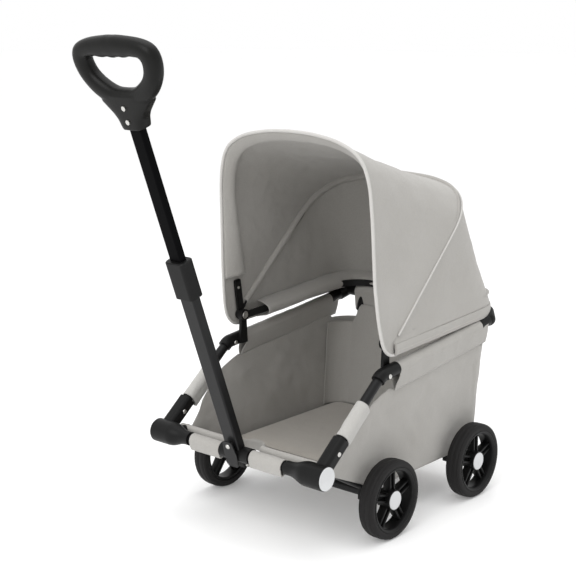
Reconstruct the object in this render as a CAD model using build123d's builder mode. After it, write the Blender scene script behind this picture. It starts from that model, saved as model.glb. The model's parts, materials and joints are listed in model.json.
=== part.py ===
"""Kids pull wagon: a rigid tube frame with a fabric tub, four wheels, a telescoping
pull handle and a folding canopy.

Millimetres. Origin on the ground straight below the middle of the front axle;
+X to the right of someone who faces the wagon's front, +Y towards the rear, +Z up.
"""

import math
import os

from build123d import *

os.makedirs("parts", exist_ok=True)

# ---------------------------------------------------------------- driving dimensions
# wheels and axles
WHEEL_D = 127.0
WHEEL_W = 27.4
TRACK = 382.0  # over the outer faces of the tyres
WHEELBASE = 238.0
TYRE_DEPTH = 12.5
RIM_DEPTH = 4.5
SPOKES = 5
HUB_R = 16.5
CAP_R = 14.8
ROD_D = 8.0

# frame tubes and where they run
TUBE_D = 16.0
TUBE_WALL = 1.5
CROSS_Y = -155.0  # front cross tube
CROSS_Z = 139.0
SIDE_X = 162.0  # side tubes, from the middle plane
SIDE_RISE = 39.0  # degrees, from the front corner to the bend
BEND_Y = -5.0
TOP_RISE = 6.2  # degrees, behind the bend
BEND_R = 70.0
RAIL_X = 136.0  # base rails
REAR_Y = 311.0  # rear cross tube
REAR_Z = 304.0
POST_X = 111.0  # rear posts, where they meet the rear cross tube

# fabric and floor
CLOTH = 1.6
FLOOR_T = 3.0
PAD_T = 8.5
SEAM_DROP = 34.0  # top seam below the side tube's centre
CORNER_R = 20.0  # rear corners of the tub, at the floor

# handle
LEAN = 20.5  # degrees forward of upright
YOKE_W = 60.0
LOWER_W = 28.0
LOWER_T = 16.0
LOWER_TOP = 330.0  # lower tube's top end, from the pivot
HANDLE_WALL = 1.2
UPPER_W = 24.0
UPPER_T = 12.0
UPPER_BOTTOM = 266.0  # upper tube's lower end with the handle pulled out
COLLAR_L = 60.0
COLLAR_TOP = 342.0
GRIP_BOTTOM = 548.0
GRIP_TOP = 674.0
GRIP_W = 138.0
GRIP_T = 25.0

# canopy
PIVOT_Y = 21.0
PIVOT_Z = 305.0
FRONT_EDGE_ANGLE = 99.8  # canopy's front edge, degrees from +Y towards +Z
FRONT_BOW_ANGLE = 98.4
MID_BOW_ANGLE = 43.0
REAR_BOW_ANGLE = 3.6
FRONT_EDGE_TOP = 331.0  # outside of the fabric above the pivot, at each bow
MID_EDGE_TOP = 340.0
REAR_EDGE_TOP = 303.0
CANOPY_X = 163.6  # outside of the fabric at the pivot
BOW_CORNER_R = 85.0
BOW_WIDE = 10.0
BOW_THICK = 2.4
BOW_ROD_D = 3.6

# fits and clearances
RUN = 0.05  # running clearance on the radius
SLIDE = 0.1  # sliding clearance of a flat fit
SEAT = 0.1  # a tube in its socket
GAP = 0.3  # between pieces that only lie near each other

# ---------------------------------------------------------------- worked out from them
WHEEL_R = WHEEL_D / 2
WHEEL_X = TRACK / 2 - WHEEL_W / 2
AXLES = {"front": 0.0, "rear": WHEELBASE}
TUBE_R = TUBE_D / 2
ROD_R = ROD_D / 2
RAIL_Z = WHEEL_R + TUBE_D + 0.5
SIDES = {"left": -1, "right": 1}
CROSS = Vector(0, CROSS_Y, CROSS_Z)
REAR = Vector(0, REAR_Y, REAR_Z)
PIVOT = Vector(0, PIVOT_Y, PIVOT_Z)
BEND_Z = CROSS_Z + (BEND_Y - CROSS_Y) * math.tan(math.radians(SIDE_RISE))
SIDE_END_Y = REAR_Y - 22


def save(piece, label):
    """Label a finished piece and write its STEP file."""
    piece.label = label
    export_step(piece, f"parts/{label}.step")


def top_z(y):
    """Height of a side tube's centre behind the bend."""
    return BEND_Z + (y - BEND_Y) * math.tan(math.radians(TOP_RISE))


def slope_z(y):
    """Height of a side tube's centre ahead of the bend."""
    return CROSS_Z + (y - CROSS_Y) * math.tan(math.radians(SIDE_RISE))


def across(x, y, z, sign=1):
    """Plane across the wagon's width, its normal pointing outwards on one side."""
    return Plane(origin=(sign * x, y, z), x_dir=(0, sign, 0), z_dir=(sign, 0, 0))


def profile_plane(x, y, z, sign=1):
    """Plane whose x runs outwards along the width and whose y runs up."""
    return Plane(origin=(sign * x, y, z), x_dir=(sign, 0, 0), z_dir=(0, -sign, 0))


def rod(start, end, radius, bore=0.0):
    """Straight round bar or tube between two points."""
    start, end = Vector(start), Vector(end)
    with BuildPart() as bar:
        with BuildSketch(Plane(origin=start, z_dir=end - start)):
            Circle(radius)
            if bore:
                Circle(bore, mode=Mode.SUBTRACT)
        extrude(amount=(end - start).length)
    return bar.part


def bent(points, radii, radius, bore=0.0):
    """Round bar or tube along straight runs joined by arcs."""
    with BuildPart() as bar:
        with BuildLine() as path:
            FilletPolyline(*points, radius=radii)
        start = path.line @ 0
        with BuildSketch(Plane(origin=start, z_dir=path.line % 0)):
            Circle(radius)
            if bore:
                Circle(bore, mode=Mode.SUBTRACT)
        sweep(path=path.line)
    return bar.part


def lathe(plane, points):
    """Solid of revolution about the plane's x direction, from a closed outline."""
    with BuildPart() as turned:
        with BuildSketch(plane):
            with BuildLine():
                Polyline(*points, close=True)
            make_face()
        revolve(axis=Axis(plane.origin, plane.x_dir))
    return turned.part


def rivet(start, end, radius, head_r, head_t):
    """Rivet with a low domed head at each end of its shank."""
    start, end = Vector(start), Vector(end)
    way = (end - start).normalized()
    plane = Plane(origin=start, x_dir=way, z_dir=way.cross(Vector(0.01, 0.02, 1)))
    long = (end - start).length
    dome = [(math.sin(math.radians(a)) * head_t, math.cos(math.radians(a)) * head_r) for a in (0, 30, 60, 90)]
    tail = [(-x, y) for x, y in reversed(dome)]
    tip = [(long + x, y) for x, y in dome]
    return lathe(plane, tail + [(0, radius), (long, radius)] + tip)


# ---------------------------------------------------------------- wheels
HUB_IN = -15.0  # hub's inner and outer faces, from the wheel's mid-plane
HUB_OUT = 12.2
NUT_SEAT = 2.0
RIM_R = WHEEL_R - TYRE_DEPTH

for end, axle_y in AXLES.items():
    for side, sign in SIDES.items():
        hub_plane = profile_plane(WHEEL_X, axle_y, WHEEL_R, sign)
        face_plane = across(WHEEL_X, axle_y, WHEEL_R, sign)

        with BuildPart() as tyre:
            with BuildSketch(hub_plane) as section:
                with Locations((0, WHEEL_R - TYRE_DEPTH / 2 + SEAT / 2)):
                    Rectangle(WHEEL_W, TYRE_DEPTH - SEAT)
                fillet(section.vertices().group_by(Axis.Z)[-1], radius=5)
            revolve(axis=Axis(hub_plane.origin, hub_plane.x_dir))
        save(tyre.part, f"tyre_{end}_{side}")

        with BuildPart() as rim:
            with BuildSketch(hub_plane):
                with BuildLine():
                    Polyline((-WHEEL_W / 2 + 2, RIM_R - RIM_DEPTH), (-WHEEL_W / 2 + 2, RIM_R),
                             (WHEEL_W / 2 - 2, RIM_R), (WHEEL_W / 2 - 2, RIM_R - RIM_DEPTH), close=True)
                make_face()
                with BuildLine():
                    Polyline((HUB_IN, ROD_R + RUN), (HUB_IN, HUB_R - 2), (-4, HUB_R), (HUB_OUT, HUB_R),
                             (HUB_OUT, CAP_R + SEAT), (HUB_OUT - 2.2, CAP_R + SEAT),
                             (HUB_OUT - 2.2, CAP_R - 3), (NUT_SEAT, CAP_R - 3), (NUT_SEAT, ROD_R + RUN),
                             close=True)
                make_face()
            revolve(axis=Axis(hub_plane.origin, hub_plane.x_dir))
            spoke_mid = (HUB_R + RIM_R - RIM_DEPTH) / 2
            spoke_long = RIM_R - RIM_DEPTH - HUB_R + 3
            with BuildSketch(face_plane.offset(-7)):
                with PolarLocations(spoke_mid, SPOKES, start_angle=90):
                    with Locations((0, 5), (0, -5)):
                        Rectangle(spoke_long, 4)
            extrude(amount=14)
            with BuildSketch(face_plane.offset(-5)):
                with PolarLocations(spoke_mid, SPOKES, start_angle=90):
                    Rectangle(spoke_long, 10)
            extrude(amount=4)
        save(rim.part, f"rim_{end}_{side}")

        with BuildPart() as hub_cap:
            with BuildSketch(face_plane.offset(HUB_OUT - 2.2)):
                Circle(CAP_R)
            extrude(amount=3)
            chamfer(hub_cap.edges().filter_by(GeomType.CIRCLE).sort_by(
                lambda e: sign * e.center().X)[-1], length=0.6)
        save(hub_cap.part, f"hub_cap_{end}_{side}")

# ---------------------------------------------------------------- axles
PLUG_FLANGE = 2.0
WASHER_T = 1.7
TUBE_END = WHEEL_X + HUB_IN - GAP * 2 - WASHER_T - PLUG_FLANGE
ROD_END = WHEEL_X + 7

for end, axle_y in AXLES.items():
    save(rod((-TUBE_END, axle_y, WHEEL_R), (TUBE_END, axle_y, WHEEL_R), TUBE_R, TUBE_R - TUBE_WALL),
         f"{end}_axle_tube")
    save(rod((-ROD_END, axle_y, WHEEL_R), (ROD_END, axle_y, WHEEL_R), ROD_R), f"{end}_axle_rod")

plugs, washers, nuts = [], [], []
for axle_y in AXLES.values():
    for sign in SIDES.values():
        seat = profile_plane(TUBE_END, axle_y, WHEEL_R, sign)
        bore = ROD_R + SEAT / 2
        plugs.append(lathe(seat, [(-20, bore), (-20, TUBE_R - TUBE_WALL - SEAT / 2),
                                  (0, TUBE_R - TUBE_WALL - SEAT / 2), (0, TUBE_R + 1),
                                  (PLUG_FLANGE, TUBE_R + 1), (PLUG_FLANGE, bore)]))
        first = PLUG_FLANGE + GAP
        washers.append(lathe(seat, [(first, bore), (first, 9), (first + WASHER_T, 9),
                                    (first + WASHER_T, bore)]))
        nut_seat = profile_plane(WHEEL_X + NUT_SEAT + GAP, axle_y, WHEEL_R, sign)
        nuts.append(lathe(nut_seat, [(0, bore), (0, 9), (1, 9), (2.4, 6), (2.4, bore)]))
save(Compound(plugs), "axle_end_plugs")
save(Compound(washers + nuts), "axle_fasteners")

# ---------------------------------------------------------------- frame tubes
save(rod((-SIDE_X + 12, CROSS_Y, CROSS_Z), (SIDE_X - 12, CROSS_Y, CROSS_Z), TUBE_R, TUBE_R - TUBE_WALL),
     "front_cross_tube")
save(rod((-RAIL_X - 2, REAR_Y, REAR_Z), (RAIL_X + 2, REAR_Y, REAR_Z), TUBE_R, TUBE_R - TUBE_WALL),
     "rear_cross_tube")

SIDE_START_Y = CROSS_Y + 14


def side_path(sign):
    """Side tube: up from the front corner, bend, then back along the tub's top."""
    return [(sign * SIDE_X, SIDE_START_Y, slope_z(SIDE_START_Y)), (sign * SIDE_X, BEND_Y, BEND_Z),
            (sign * SIDE_X, SIDE_END_Y, top_z(SIDE_END_Y))]


def clamp_path(sign):
    """Stretch of the side tube's bend that the canopy bracket grips."""
    return [(sign * SIDE_X, BEND_Y - 8, slope_z(BEND_Y - 8)), (sign * SIDE_X, BEND_Y, BEND_Z),
            (sign * SIDE_X, BEND_Y + 38, top_z(BEND_Y + 38))]


CLAMP_BEND_R = 20


def rail_path(sign):
    """Base rail: back from the front corner, down to the axles, back, then up as a rear post."""
    foot = Vector(sign * RAIL_X, REAR_Y - 27, RAIL_Z)
    head = Vector(sign * POST_X, REAR_Y, REAR_Z)
    top = head + (foot - head).normalized() * (TUBE_R + 3)
    return [(sign * RAIL_X, CROSS_Y + TUBE_R + 1.5, CROSS_Z), (sign * RAIL_X, CROSS_Y + 33, CROSS_Z),
            (sign * RAIL_X, -14, RAIL_Z), tuple(foot), tuple(top)]


RAIL_BENDS = [20, 40, 26]

RIVET_R = 2.4
SOCKET_L = 67.0
SOCKET_W = 23.0
SOCKET_H = 24.0
SOCKET_ROUND = 8.0
CLAMP_R = 11.0
CLAMP_RIVET_Y = BEND_Y + 9
slope_dir = Vector(0, math.cos(math.radians(SIDE_RISE)), math.sin(math.radians(SIDE_RISE)))
corner_rivet = Vector(0, CROSS_Y, CROSS_Z) + slope_dir * 44
clamp_rivet = Vector(0, CLAMP_RIVET_Y, top_z(CLAMP_RIVET_Y) - 2.5)
frame_rivets = []

for side, sign in SIDES.items():
    with BuildPart() as side_tube:
        add(bent(side_path(sign), [BEND_R], TUBE_R, TUBE_R - TUBE_WALL))
        for mid in (corner_rivet, clamp_rivet):
            add(rod((sign * (SIDE_X - 20), mid.Y, mid.Z), (sign * (SIDE_X + 20), mid.Y, mid.Z),
                    RIVET_R + SEAT), mode=Mode.SUBTRACT)
    save(side_tube.part, f"side_tube_{side}")
    save(bent(rail_path(sign), RAIL_BENDS, TUBE_R, TUBE_R - TUBE_WALL), f"base_rail_{side}")
    for mid, half_grip in ((corner_rivet, 11.5), (clamp_rivet, CLAMP_R)):
        frame_rivets.append(rivet((sign * (SIDE_X - half_grip - GAP), mid.Y, mid.Z),
                                  (sign * (SIDE_X + half_grip + GAP), mid.Y, mid.Z), RIVET_R, 3.8, 1.6))
save(Compound(frame_rivets), "frame_rivets")

# ---------------------------------------------------------------- front corners
HUB_CORNER_R = 19.0
CORNER_OUT = SIDE_X + 16
NECK_X = SIDE_X - 60
NECK_R = 11.0
DISC_R = HUB_CORNER_R - 1.1
DISC_T = 2.0

for side, sign in SIDES.items():
    hub = Vector(sign * SIDE_X, CROSS_Y, CROSS_Z)
    flat = profile_plane(0, CROSS_Y, CROSS_Z, sign)
    with BuildPart() as front_corner:
        with BuildSketch(flat):
            with BuildLine():
                Polyline((NECK_X, 0), (NECK_X, NECK_R), (NECK_X + 7, NECK_R))
                Spline((NECK_X + 7, NECK_R), (NECK_X + 24, NECK_R + 3.5), (SIDE_X - 18, HUB_CORNER_R),
                       tangents=((1, 0), (1, 0)))
                Polyline((SIDE_X - 18, HUB_CORNER_R), (CORNER_OUT - 1.5, HUB_CORNER_R),
                         (CORNER_OUT, HUB_CORNER_R - 1), (CORNER_OUT, 0), (NECK_X, 0))
            make_face()
        revolve(axis=Axis(CROSS, (1, 0, 0)))
        with BuildSketch(Plane(origin=hub, x_dir=(1, 0, 0), z_dir=slope_dir)):
            RectangleRounded(SOCKET_W, SOCKET_H, SOCKET_ROUND)
        extrude(amount=SOCKET_L)
        with BuildSketch(Plane(origin=(sign * RAIL_X, CROSS_Y, CROSS_Z), z_dir=(0, 1, 0))):
            Circle(NECK_R)
        extrude(amount=28)
        # bores for the three tubes, and the recess for the cap
        add(rod((sign * (NECK_X - 1), CROSS_Y, CROSS_Z), (sign * (SIDE_X - 12 + SEAT), CROSS_Y, CROSS_Z),
                TUBE_R + SEAT), mode=Mode.SUBTRACT)
        add(rod(hub + slope_dir * (14 / math.cos(math.radians(SIDE_RISE)) - 0.5),
                hub + slope_dir * (SOCKET_L + 1), TUBE_R + SEAT), mode=Mode.SUBTRACT)
        add(rod((sign * RAIL_X, CROSS_Y + TUBE_R + 1, CROSS_Z), (sign * RAIL_X, CROSS_Y + 29, CROSS_Z),
                TUBE_R + SEAT), mode=Mode.SUBTRACT)
        with BuildSketch(across(CORNER_OUT - 1.4, CROSS_Y, CROSS_Z, sign)):
            Circle(DISC_R + SEAT)
        extrude(amount=3, mode=Mode.SUBTRACT)
        # rivet hole through the side socket
        rivet_mid = corner_rivet + Vector(sign * SIDE_X, 0, 0)
        add(rod(rivet_mid - Vector(20, 0, 0), rivet_mid + Vector(20, 0, 0), RIVET_R + SEAT),
            mode=Mode.SUBTRACT)
    save(front_corner.part, f"front_corner_{side}")

    with BuildPart() as corner_cap:
        with BuildSketch(across(CORNER_OUT - 1.4, CROSS_Y, CROSS_Z, sign)):
            Circle(DISC_R)
        extrude(amount=DISC_T)
        fillet(corner_cap.edges().filter_by(GeomType.CIRCLE).sort_by(
            lambda e: sign * e.center().X)[-1], radius=0.7)
    save(corner_cap.part, f"corner_cap_{side}")

# ---------------------------------------------------------------- rear corners
ELBOW_R = 10.5
TURN_R = ELBOW_R + 1.5
SIDE_SOCKET_L = 22.0
POST_SOCKET_L = 36.0
socket = Vector(SIDE_X, SIDE_END_Y - SIDE_SOCKET_L, top_z(SIDE_END_Y - SIDE_SOCKET_L))
side_end = Vector(SIDE_X, SIDE_END_Y, top_z(SIDE_END_Y))
turn_in = Vector(SIDE_X, REAR_Y - 11, top_z(REAR_Y - 11) + 2)
turn_out = Vector(SIDE_X - 10, REAR_Y, REAR_Z)
neck = Vector(POST_X - 13, REAR_Y, REAR_Z)
post_foot = Vector(*rail_path(1)[3])
post_head = Vector(POST_X, REAR_Y, REAR_Z)
down = (post_foot - post_head).normalized()
run = (side_end - socket).normalized()

with BuildPart() as rear_corner_right:
    add(rod(socket, turn_in, ELBOW_R))
    add(rod(turn_in, turn_out, TURN_R))
    add(rod(turn_out, neck, ELBOW_R))
    add(rod(post_head, post_head + down * POST_SOCKET_L, ELBOW_R))
    with Locations(turn_in, turn_out):
        Sphere(TURN_R)
    add(rod(socket - run, side_end + run * 0.5, TUBE_R + SEAT), mode=Mode.SUBTRACT)
    add(rod(neck - Vector(1, 0, 0), (RAIL_X + 2.5, REAR_Y, REAR_Z), TUBE_R + SEAT), mode=Mode.SUBTRACT)
    add(rod(post_head + down * (TUBE_R + 2.5), post_head + down * (POST_SOCKET_L + 4), TUBE_R + SEAT),
        mode=Mode.SUBTRACT)
save(rear_corner_right.part, "rear_corner_right")

with BuildPart() as rear_corner_left:
    mirror(rear_corner_right.part, about=Plane.YZ)
save(rear_corner_left.part, "rear_corner_left")

# ---------------------------------------------------------------- axle saddles
SADDLE_W = 20.0
SADDLE_L = 22.0
SADDLE_LOW = WHEEL_R - TUBE_R - 3
SADDLE_HIGH = RAIL_Z + TUBE_R - 0.5
for end, axle_y in AXLES.items():
    saddles = []
    for sign in SIDES.values():
        with BuildPart() as saddle:
            with BuildSketch(Plane.XY.offset(SADDLE_LOW)):
                with Locations((sign * (RAIL_X - 3), axle_y)):
                    RectangleRounded(SADDLE_W, SADDLE_L, 3)
            extrude(amount=SADDLE_HIGH - SADDLE_LOW)
            add(rod((-TRACK / 2, axle_y, WHEEL_R), (TRACK / 2, axle_y, WHEEL_R), TUBE_R + SEAT),
                mode=Mode.SUBTRACT)
            add(bent(rail_path(sign), RAIL_BENDS, TUBE_R + SEAT), mode=Mode.SUBTRACT)
        saddles.append(saddle.part)
    save(Compound(saddles), f"axle_saddles_{end}")

# ---------------------------------------------------------------- floor
WALL_LEAN = (SIDE_X - 2 - (RAIL_X + TUBE_R + 2)) / (BEND_Z - SEAM_DROP - RAIL_Z + TUBE_R)
WALL_FOOT_X = RAIL_X + TUBE_R + 2  # outer face of a side wall at its foot
FOOT_Z = RAIL_Z - TUBE_R
SHEET_Z = RAIL_Z + TUBE_R + GAP
BOARD_Z = SHEET_Z + CLOTH + GAP
PAD_Z = BOARD_Z + FLOOR_T + GAP
RAMP_Y = -8.0
LIP_Y = CROSS_Y + 43
LIP_Z = CROSS_Z + 11
INSIDE_Y = REAR_Y - 11  # back edge of the floor pieces
NOTCH_L = 52.0  # corner notches for the rear posts
inner_x = WALL_FOOT_X - CLOTH - GAP - 0.5


def wall_x(z):
    """Outer face of a side wall at a height."""
    return WALL_FOOT_X + (z - FOOT_Z) * WALL_LEAN


for label, low, thick, edge in (("floor_board", BOARD_Z, FLOOR_T, 4), ("floor_pad", PAD_Z, PAD_T, 3)):
    with BuildPart() as layer:
        with BuildSketch(Plane.XY.offset(low)):
            with Locations((0, (RAMP_Y + INSIDE_Y) / 2)):
                Rectangle(2 * (inner_x - edge), INSIDE_Y - RAMP_Y)
            for sign in SIDES.values():  # corner notches for the rear posts
                with Locations((sign * inner_x, INSIDE_Y)):
                    Rectangle(2 * (inner_x - RAIL_X + TUBE_R + 10), 2 * NOTCH_L, mode=Mode.SUBTRACT)
        extrude(amount=thick)
    save(layer.part, label)

with BuildPart() as tub_floor:
    with BuildSketch(across(-inner_x, 0, 0)):
        with BuildLine():
            Polyline((INSIDE_Y - 54, SHEET_Z), (RAMP_Y, SHEET_Z), (LIP_Y, LIP_Z - 5), (LIP_Y, LIP_Z),
                     (LIP_Y + CLOTH, LIP_Z), (LIP_Y + CLOTH, LIP_Z - 5 + CLOTH / 2),
                     (RAMP_Y + CLOTH / 4, SHEET_Z + CLOTH), (INSIDE_Y - 54, SHEET_Z + CLOTH), close=True)
        make_face()
    extrude(amount=2 * inner_x)
save(tub_floor.part, "tub_floor")

# ---------------------------------------------------------------- tub walls
SLEEVE_IN = TUBE_R + GAP
SLEEVE_OUT = SLEEVE_IN + CLOTH
SLOPE_SLEEVE_END = 140.0  # along the slope from the corner's centre
TOP_SLEEVE = (BEND_Y + 30, SIDE_END_Y - 24)
SIDE_BACK_Y = REAR_Y - 44  # where the side wall ends and the rear wall's corner begins
lean_angle = math.degrees(math.atan(WALL_LEAN))

for side, sign in SIDES.items():
    hub = Vector(sign * SIDE_X, CROSS_Y, CROSS_Z)
    rise = Vector(sign * WALL_LEAN, 0, 1).normalized()
    wall = Plane(origin=(sign * (WALL_FOOT_X - CLOTH), 0, FOOT_Z), x_dir=(0, 1, 0),
                 z_dir=Vector(0, 1, 0).cross(rise))
    tall = 1 / rise.Z
    slope_a = hub + slope_dir * (SOCKET_L + 2)
    slope_b = hub + slope_dir * SLOPE_SLEEVE_END
    top_a = Vector(sign * SIDE_X, TOP_SLEEVE[0], top_z(TOP_SLEEVE[0]))
    top_b = Vector(sign * SIDE_X, TOP_SLEEVE[1], top_z(TOP_SLEEVE[1]))
    corner = [(CROSS_Y + 41, CROSS_Z + 2), (slope_a.Y + 10, slope_a.Z + 4), (slope_b.Y, slope_b.Z - 4),
              (BEND_Y + 12, BEND_Z - 20), (top_a.Y, top_a.Z - 2), (top_b.Y, top_b.Z - 2),
              (top_b.Y, top_b.Z - SEAM_DROP), (SIDE_BACK_Y, top_z(SIDE_BACK_Y) - SEAM_DROP),
              (SIDE_BACK_Y, FOOT_Z), (RAMP_Y + 4, FOOT_Z)]
    with BuildPart() as tub_side:
        with BuildSketch(wall):
            with BuildLine():
                Polyline(*[(y, (z - FOOT_Z) * tall) for y, z in corner], close=True)
            make_face()
        extrude(amount=CLOTH * sign)
        add(rod(slope_a, slope_b, SLEEVE_OUT))
        add(rod(top_a, top_b, SLEEVE_OUT))
        add(bent(side_path(sign), [BEND_R], SLEEVE_IN), mode=Mode.SUBTRACT)
        add(bent(clamp_path(sign), [CLAMP_BEND_R], CLAMP_R + GAP), mode=Mode.SUBTRACT)
        with BuildSketch(Plane(origin=hub, x_dir=(1, 0, 0), z_dir=slope_dir)):
            RectangleRounded(SOCKET_W + 2 * GAP, SOCKET_H + 2 * GAP, SOCKET_ROUND + GAP)
        extrude(amount=SOCKET_L + GAP, mode=Mode.SUBTRACT)
    save(tub_side.part, f"tub_side_{side}")

SEAM_Z = top_z(SIDE_BACK_Y) - SEAM_DROP
REAR_FOOT_Y = REAR_Y - 8  # outer face of the rear wall at its foot and at the seam
REAR_SEAM_Y = REAR_Y + 7


def wall_strip(half_width, front_y, back_y, radius):
    """Plan outline of the rear wall with its two rounded corners, one cloth thick."""
    for inset, mode in ((0, Mode.ADD), (CLOTH, Mode.SUBTRACT)):
        with BuildSketch(mode=Mode.PRIVATE) as plan:
            with BuildLine():
                FilletPolyline((-half_width + inset, front_y), (-half_width + inset, back_y - inset),
                               (half_width - inset, back_y - inset), (half_width - inset, front_y),
                               radius=radius - inset)
                Line((half_width - inset, front_y), (-half_width + inset, front_y))
            make_face()
        add(plan.sketch, mode=mode)


with BuildPart() as tub_rear:
    with BuildSketch(Plane.XY.offset(FOOT_Z)):
        wall_strip(WALL_FOOT_X, SIDE_BACK_Y + GAP, REAR_FOOT_Y, CORNER_R)
    with BuildSketch(Plane.XY.offset(SEAM_Z)):
        wall_strip(wall_x(SEAM_Z), SIDE_BACK_Y + GAP, REAR_SEAM_Y, CORNER_R + 20)
    loft(ruled=True)
    with BuildSketch(Plane.XY.offset(SEAM_Z - 0.4)):
        with Locations((0, REAR_SEAM_Y - CLOTH / 2)):
            Rectangle(2 * (RAIL_X - 8), CLOTH)
    extrude(amount=REAR_Z - SEAM_Z)
    add(rod((-RAIL_X + 8, REAR_Y, REAR_Z), (RAIL_X - 8, REAR_Y, REAR_Z), ELBOW_R + GAP + CLOTH))
    add(rod((-RAIL_X, REAR_Y, REAR_Z), (RAIL_X, REAR_Y, REAR_Z), ELBOW_R + GAP), mode=Mode.SUBTRACT)
    post_socket = rod(post_head, post_head + down * (POST_SOCKET_L + 2), ELBOW_R + GAP)
    add(post_socket, mode=Mode.SUBTRACT)
    mirror(post_socket, about=Plane.YZ, mode=Mode.SUBTRACT)
save(tub_rear.part, "tub_rear")

# front apron: two sleeves on the cross tube and the strip that joins them to the lip
with BuildPart() as tub_apron:
    for sign in SIDES.values():
        add(rod((sign * (YOKE_W / 2 + 1), CROSS_Y, CROSS_Z), (sign * (NECK_X - 1), CROSS_Y, CROSS_Z),
                SLEEVE_OUT))
    with BuildSketch(Plane.XY.offset(CROSS_Z + SLEEVE_OUT - CLOTH - 0.4)):
        with Locations((0, (CROSS_Y + LIP_Y) / 2)):
            Rectangle(2 * (NECK_X - 1), LIP_Y - CROSS_Y - 2 * GAP)
        with Locations((0, CROSS_Y)):
            Rectangle(YOKE_W + 2, 56, mode=Mode.SUBTRACT)
    extrude(amount=CLOTH)
    add(rod((-SIDE_X, CROSS_Y, CROSS_Z), (SIDE_X, CROSS_Y, CROSS_Z), SLEEVE_IN), mode=Mode.SUBTRACT)
save(tub_apron.part, "tub_apron")

# ---------------------------------------------------------------- handle, made along its own axis
u = Vector(0, -math.sin(math.radians(LEAN)), math.cos(math.radians(LEAN)))
n = Vector(0, -math.cos(math.radians(LEAN)), -math.sin(math.radians(LEAN)))


def handle_plane(along, front=0.0):
    """Section plane across the handle: x across the wagon, y towards its front face."""
    return Plane(origin=CROSS + u * along + n * front, x_dir=(1, 0, 0), z_dir=u)


def face_on(front):
    """Plane parallel to the handle's front face: x across, y up the handle."""
    return Plane(origin=CROSS + n * front, x_dir=(1, 0, 0), z_dir=n)


BARREL_R = 12.5
SOCKET_TOP = 34.0
lower_in_w = LOWER_W - 2 * HANDLE_WALL
lower_in_t = LOWER_T - 2 * HANDLE_WALL
BOLT_R = 2.0
BOLT_DROP = BARREL_R + 2 * BOLT_R + 0.7
yoke_bolt = CROSS - u * BOLT_DROP

with BuildPart() as handle_yoke:
    with BuildSketch(across(-YOKE_W / 2, CROSS_Y, CROSS_Z)):
        Circle(BARREL_R)
    extrude(amount=YOKE_W)
    with BuildSketch(handle_plane(0)):
        RectangleRounded(lower_in_w - 2 * SLIDE, lower_in_t - 2 * SLIDE, 2.2)
    extrude(amount=SOCKET_TOP)
    with BuildSketch(handle_plane(-BOLT_DROP - 4)):
        RectangleRounded(30, 12, 3)
    extrude(amount=BOLT_DROP + 4)
    with BuildSketch(across(-YOKE_W, CROSS_Y, CROSS_Z)):
        Circle(TUBE_R + RUN)
    extrude(amount=2 * YOKE_W, mode=Mode.SUBTRACT)
    add(rod(yoke_bolt - Vector(40, 0, 0), yoke_bolt + Vector(40, 0, 0), BOLT_R + RUN), mode=Mode.SUBTRACT)
    rivet_mid = CROSS + u * 22
    add(rod(rivet_mid - n * 20, rivet_mid + n * 20, 2.2 + RUN), mode=Mode.SUBTRACT)
save(handle_yoke.part, "handle_yoke")

with BuildPart() as yoke_plate:
    with BuildSketch(face_on(BARREL_R + GAP)) as outline:
        with BuildLine():
            Polyline((-9, -17), (-13, 6), (-9, 31), (9, 31), (13, 6), (9, -17), close=True)
        make_face()
        fillet(outline.vertices(), radius=5)
    extrude(amount=2)
    with BuildSketch(face_on(BARREL_R)):
        with Locations((0, 22)):
            Circle(2.2 + RUN)
    extrude(amount=10, mode=Mode.SUBTRACT)
save(yoke_plate.part, "yoke_plate")

with BuildPart() as lower_tube:
    with BuildSketch(handle_plane(BARREL_R + GAP)):
        RectangleRounded(LOWER_W, LOWER_T, 3)
        RectangleRounded(lower_in_w, lower_in_t, 1.8, mode=Mode.SUBTRACT)
    extrude(amount=LOWER_TOP - BARREL_R - GAP)
    rivet_mid = CROSS + u * 22
    add(rod(rivet_mid - n * 20, rivet_mid + n * 20, 2.2 + RUN), mode=Mode.SUBTRACT)
save(lower_tube.part, "lower_tube")

plate_rivet = rivet(CROSS + u * 22 - n * (LOWER_T / 2 + GAP), CROSS + u * 22 + n * (BARREL_R + 2.6),
                    2.2, 4.0, 2.0)
with BuildPart() as bolt:
    add(rod(yoke_bolt - Vector(21, 0, 0), yoke_bolt + Vector(21, 0, 0), BOLT_R))
    for sign in SIDES.values():
        add(rod(yoke_bolt + Vector(sign * 15.3, 0, 0), yoke_bolt + Vector(sign * 18.5, 0, 0), 2 * BOLT_R))
save(Compound([plate_rivet, bolt.part]), "yoke_fasteners")

with BuildPart() as collar:
    with BuildSketch(handle_plane(COLLAR_TOP - COLLAR_L)):
        RectangleRounded(LOWER_W + 10, LOWER_T + 9, 7)
    extrude(amount=COLLAR_L)
    with BuildSketch(handle_plane(COLLAR_TOP - COLLAR_L)):
        RectangleRounded(LOWER_W + 2 * SLIDE, LOWER_T + 2 * SLIDE, 3.1)
    extrude(amount=LOWER_TOP + 0.3 - COLLAR_TOP + COLLAR_L, mode=Mode.SUBTRACT)
    with BuildSketch(handle_plane(COLLAR_TOP - COLLAR_L)):
        RectangleRounded(UPPER_W + 2 * SLIDE, UPPER_T + 2 * SLIDE, 3.1)
    extrude(amount=COLLAR_L, mode=Mode.SUBTRACT)
    chamfer(collar.faces().sort_by(Axis(CROSS, u))[-1].outer_wire().edges(), length=1.5)
save(collar.part, "collar")

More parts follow.
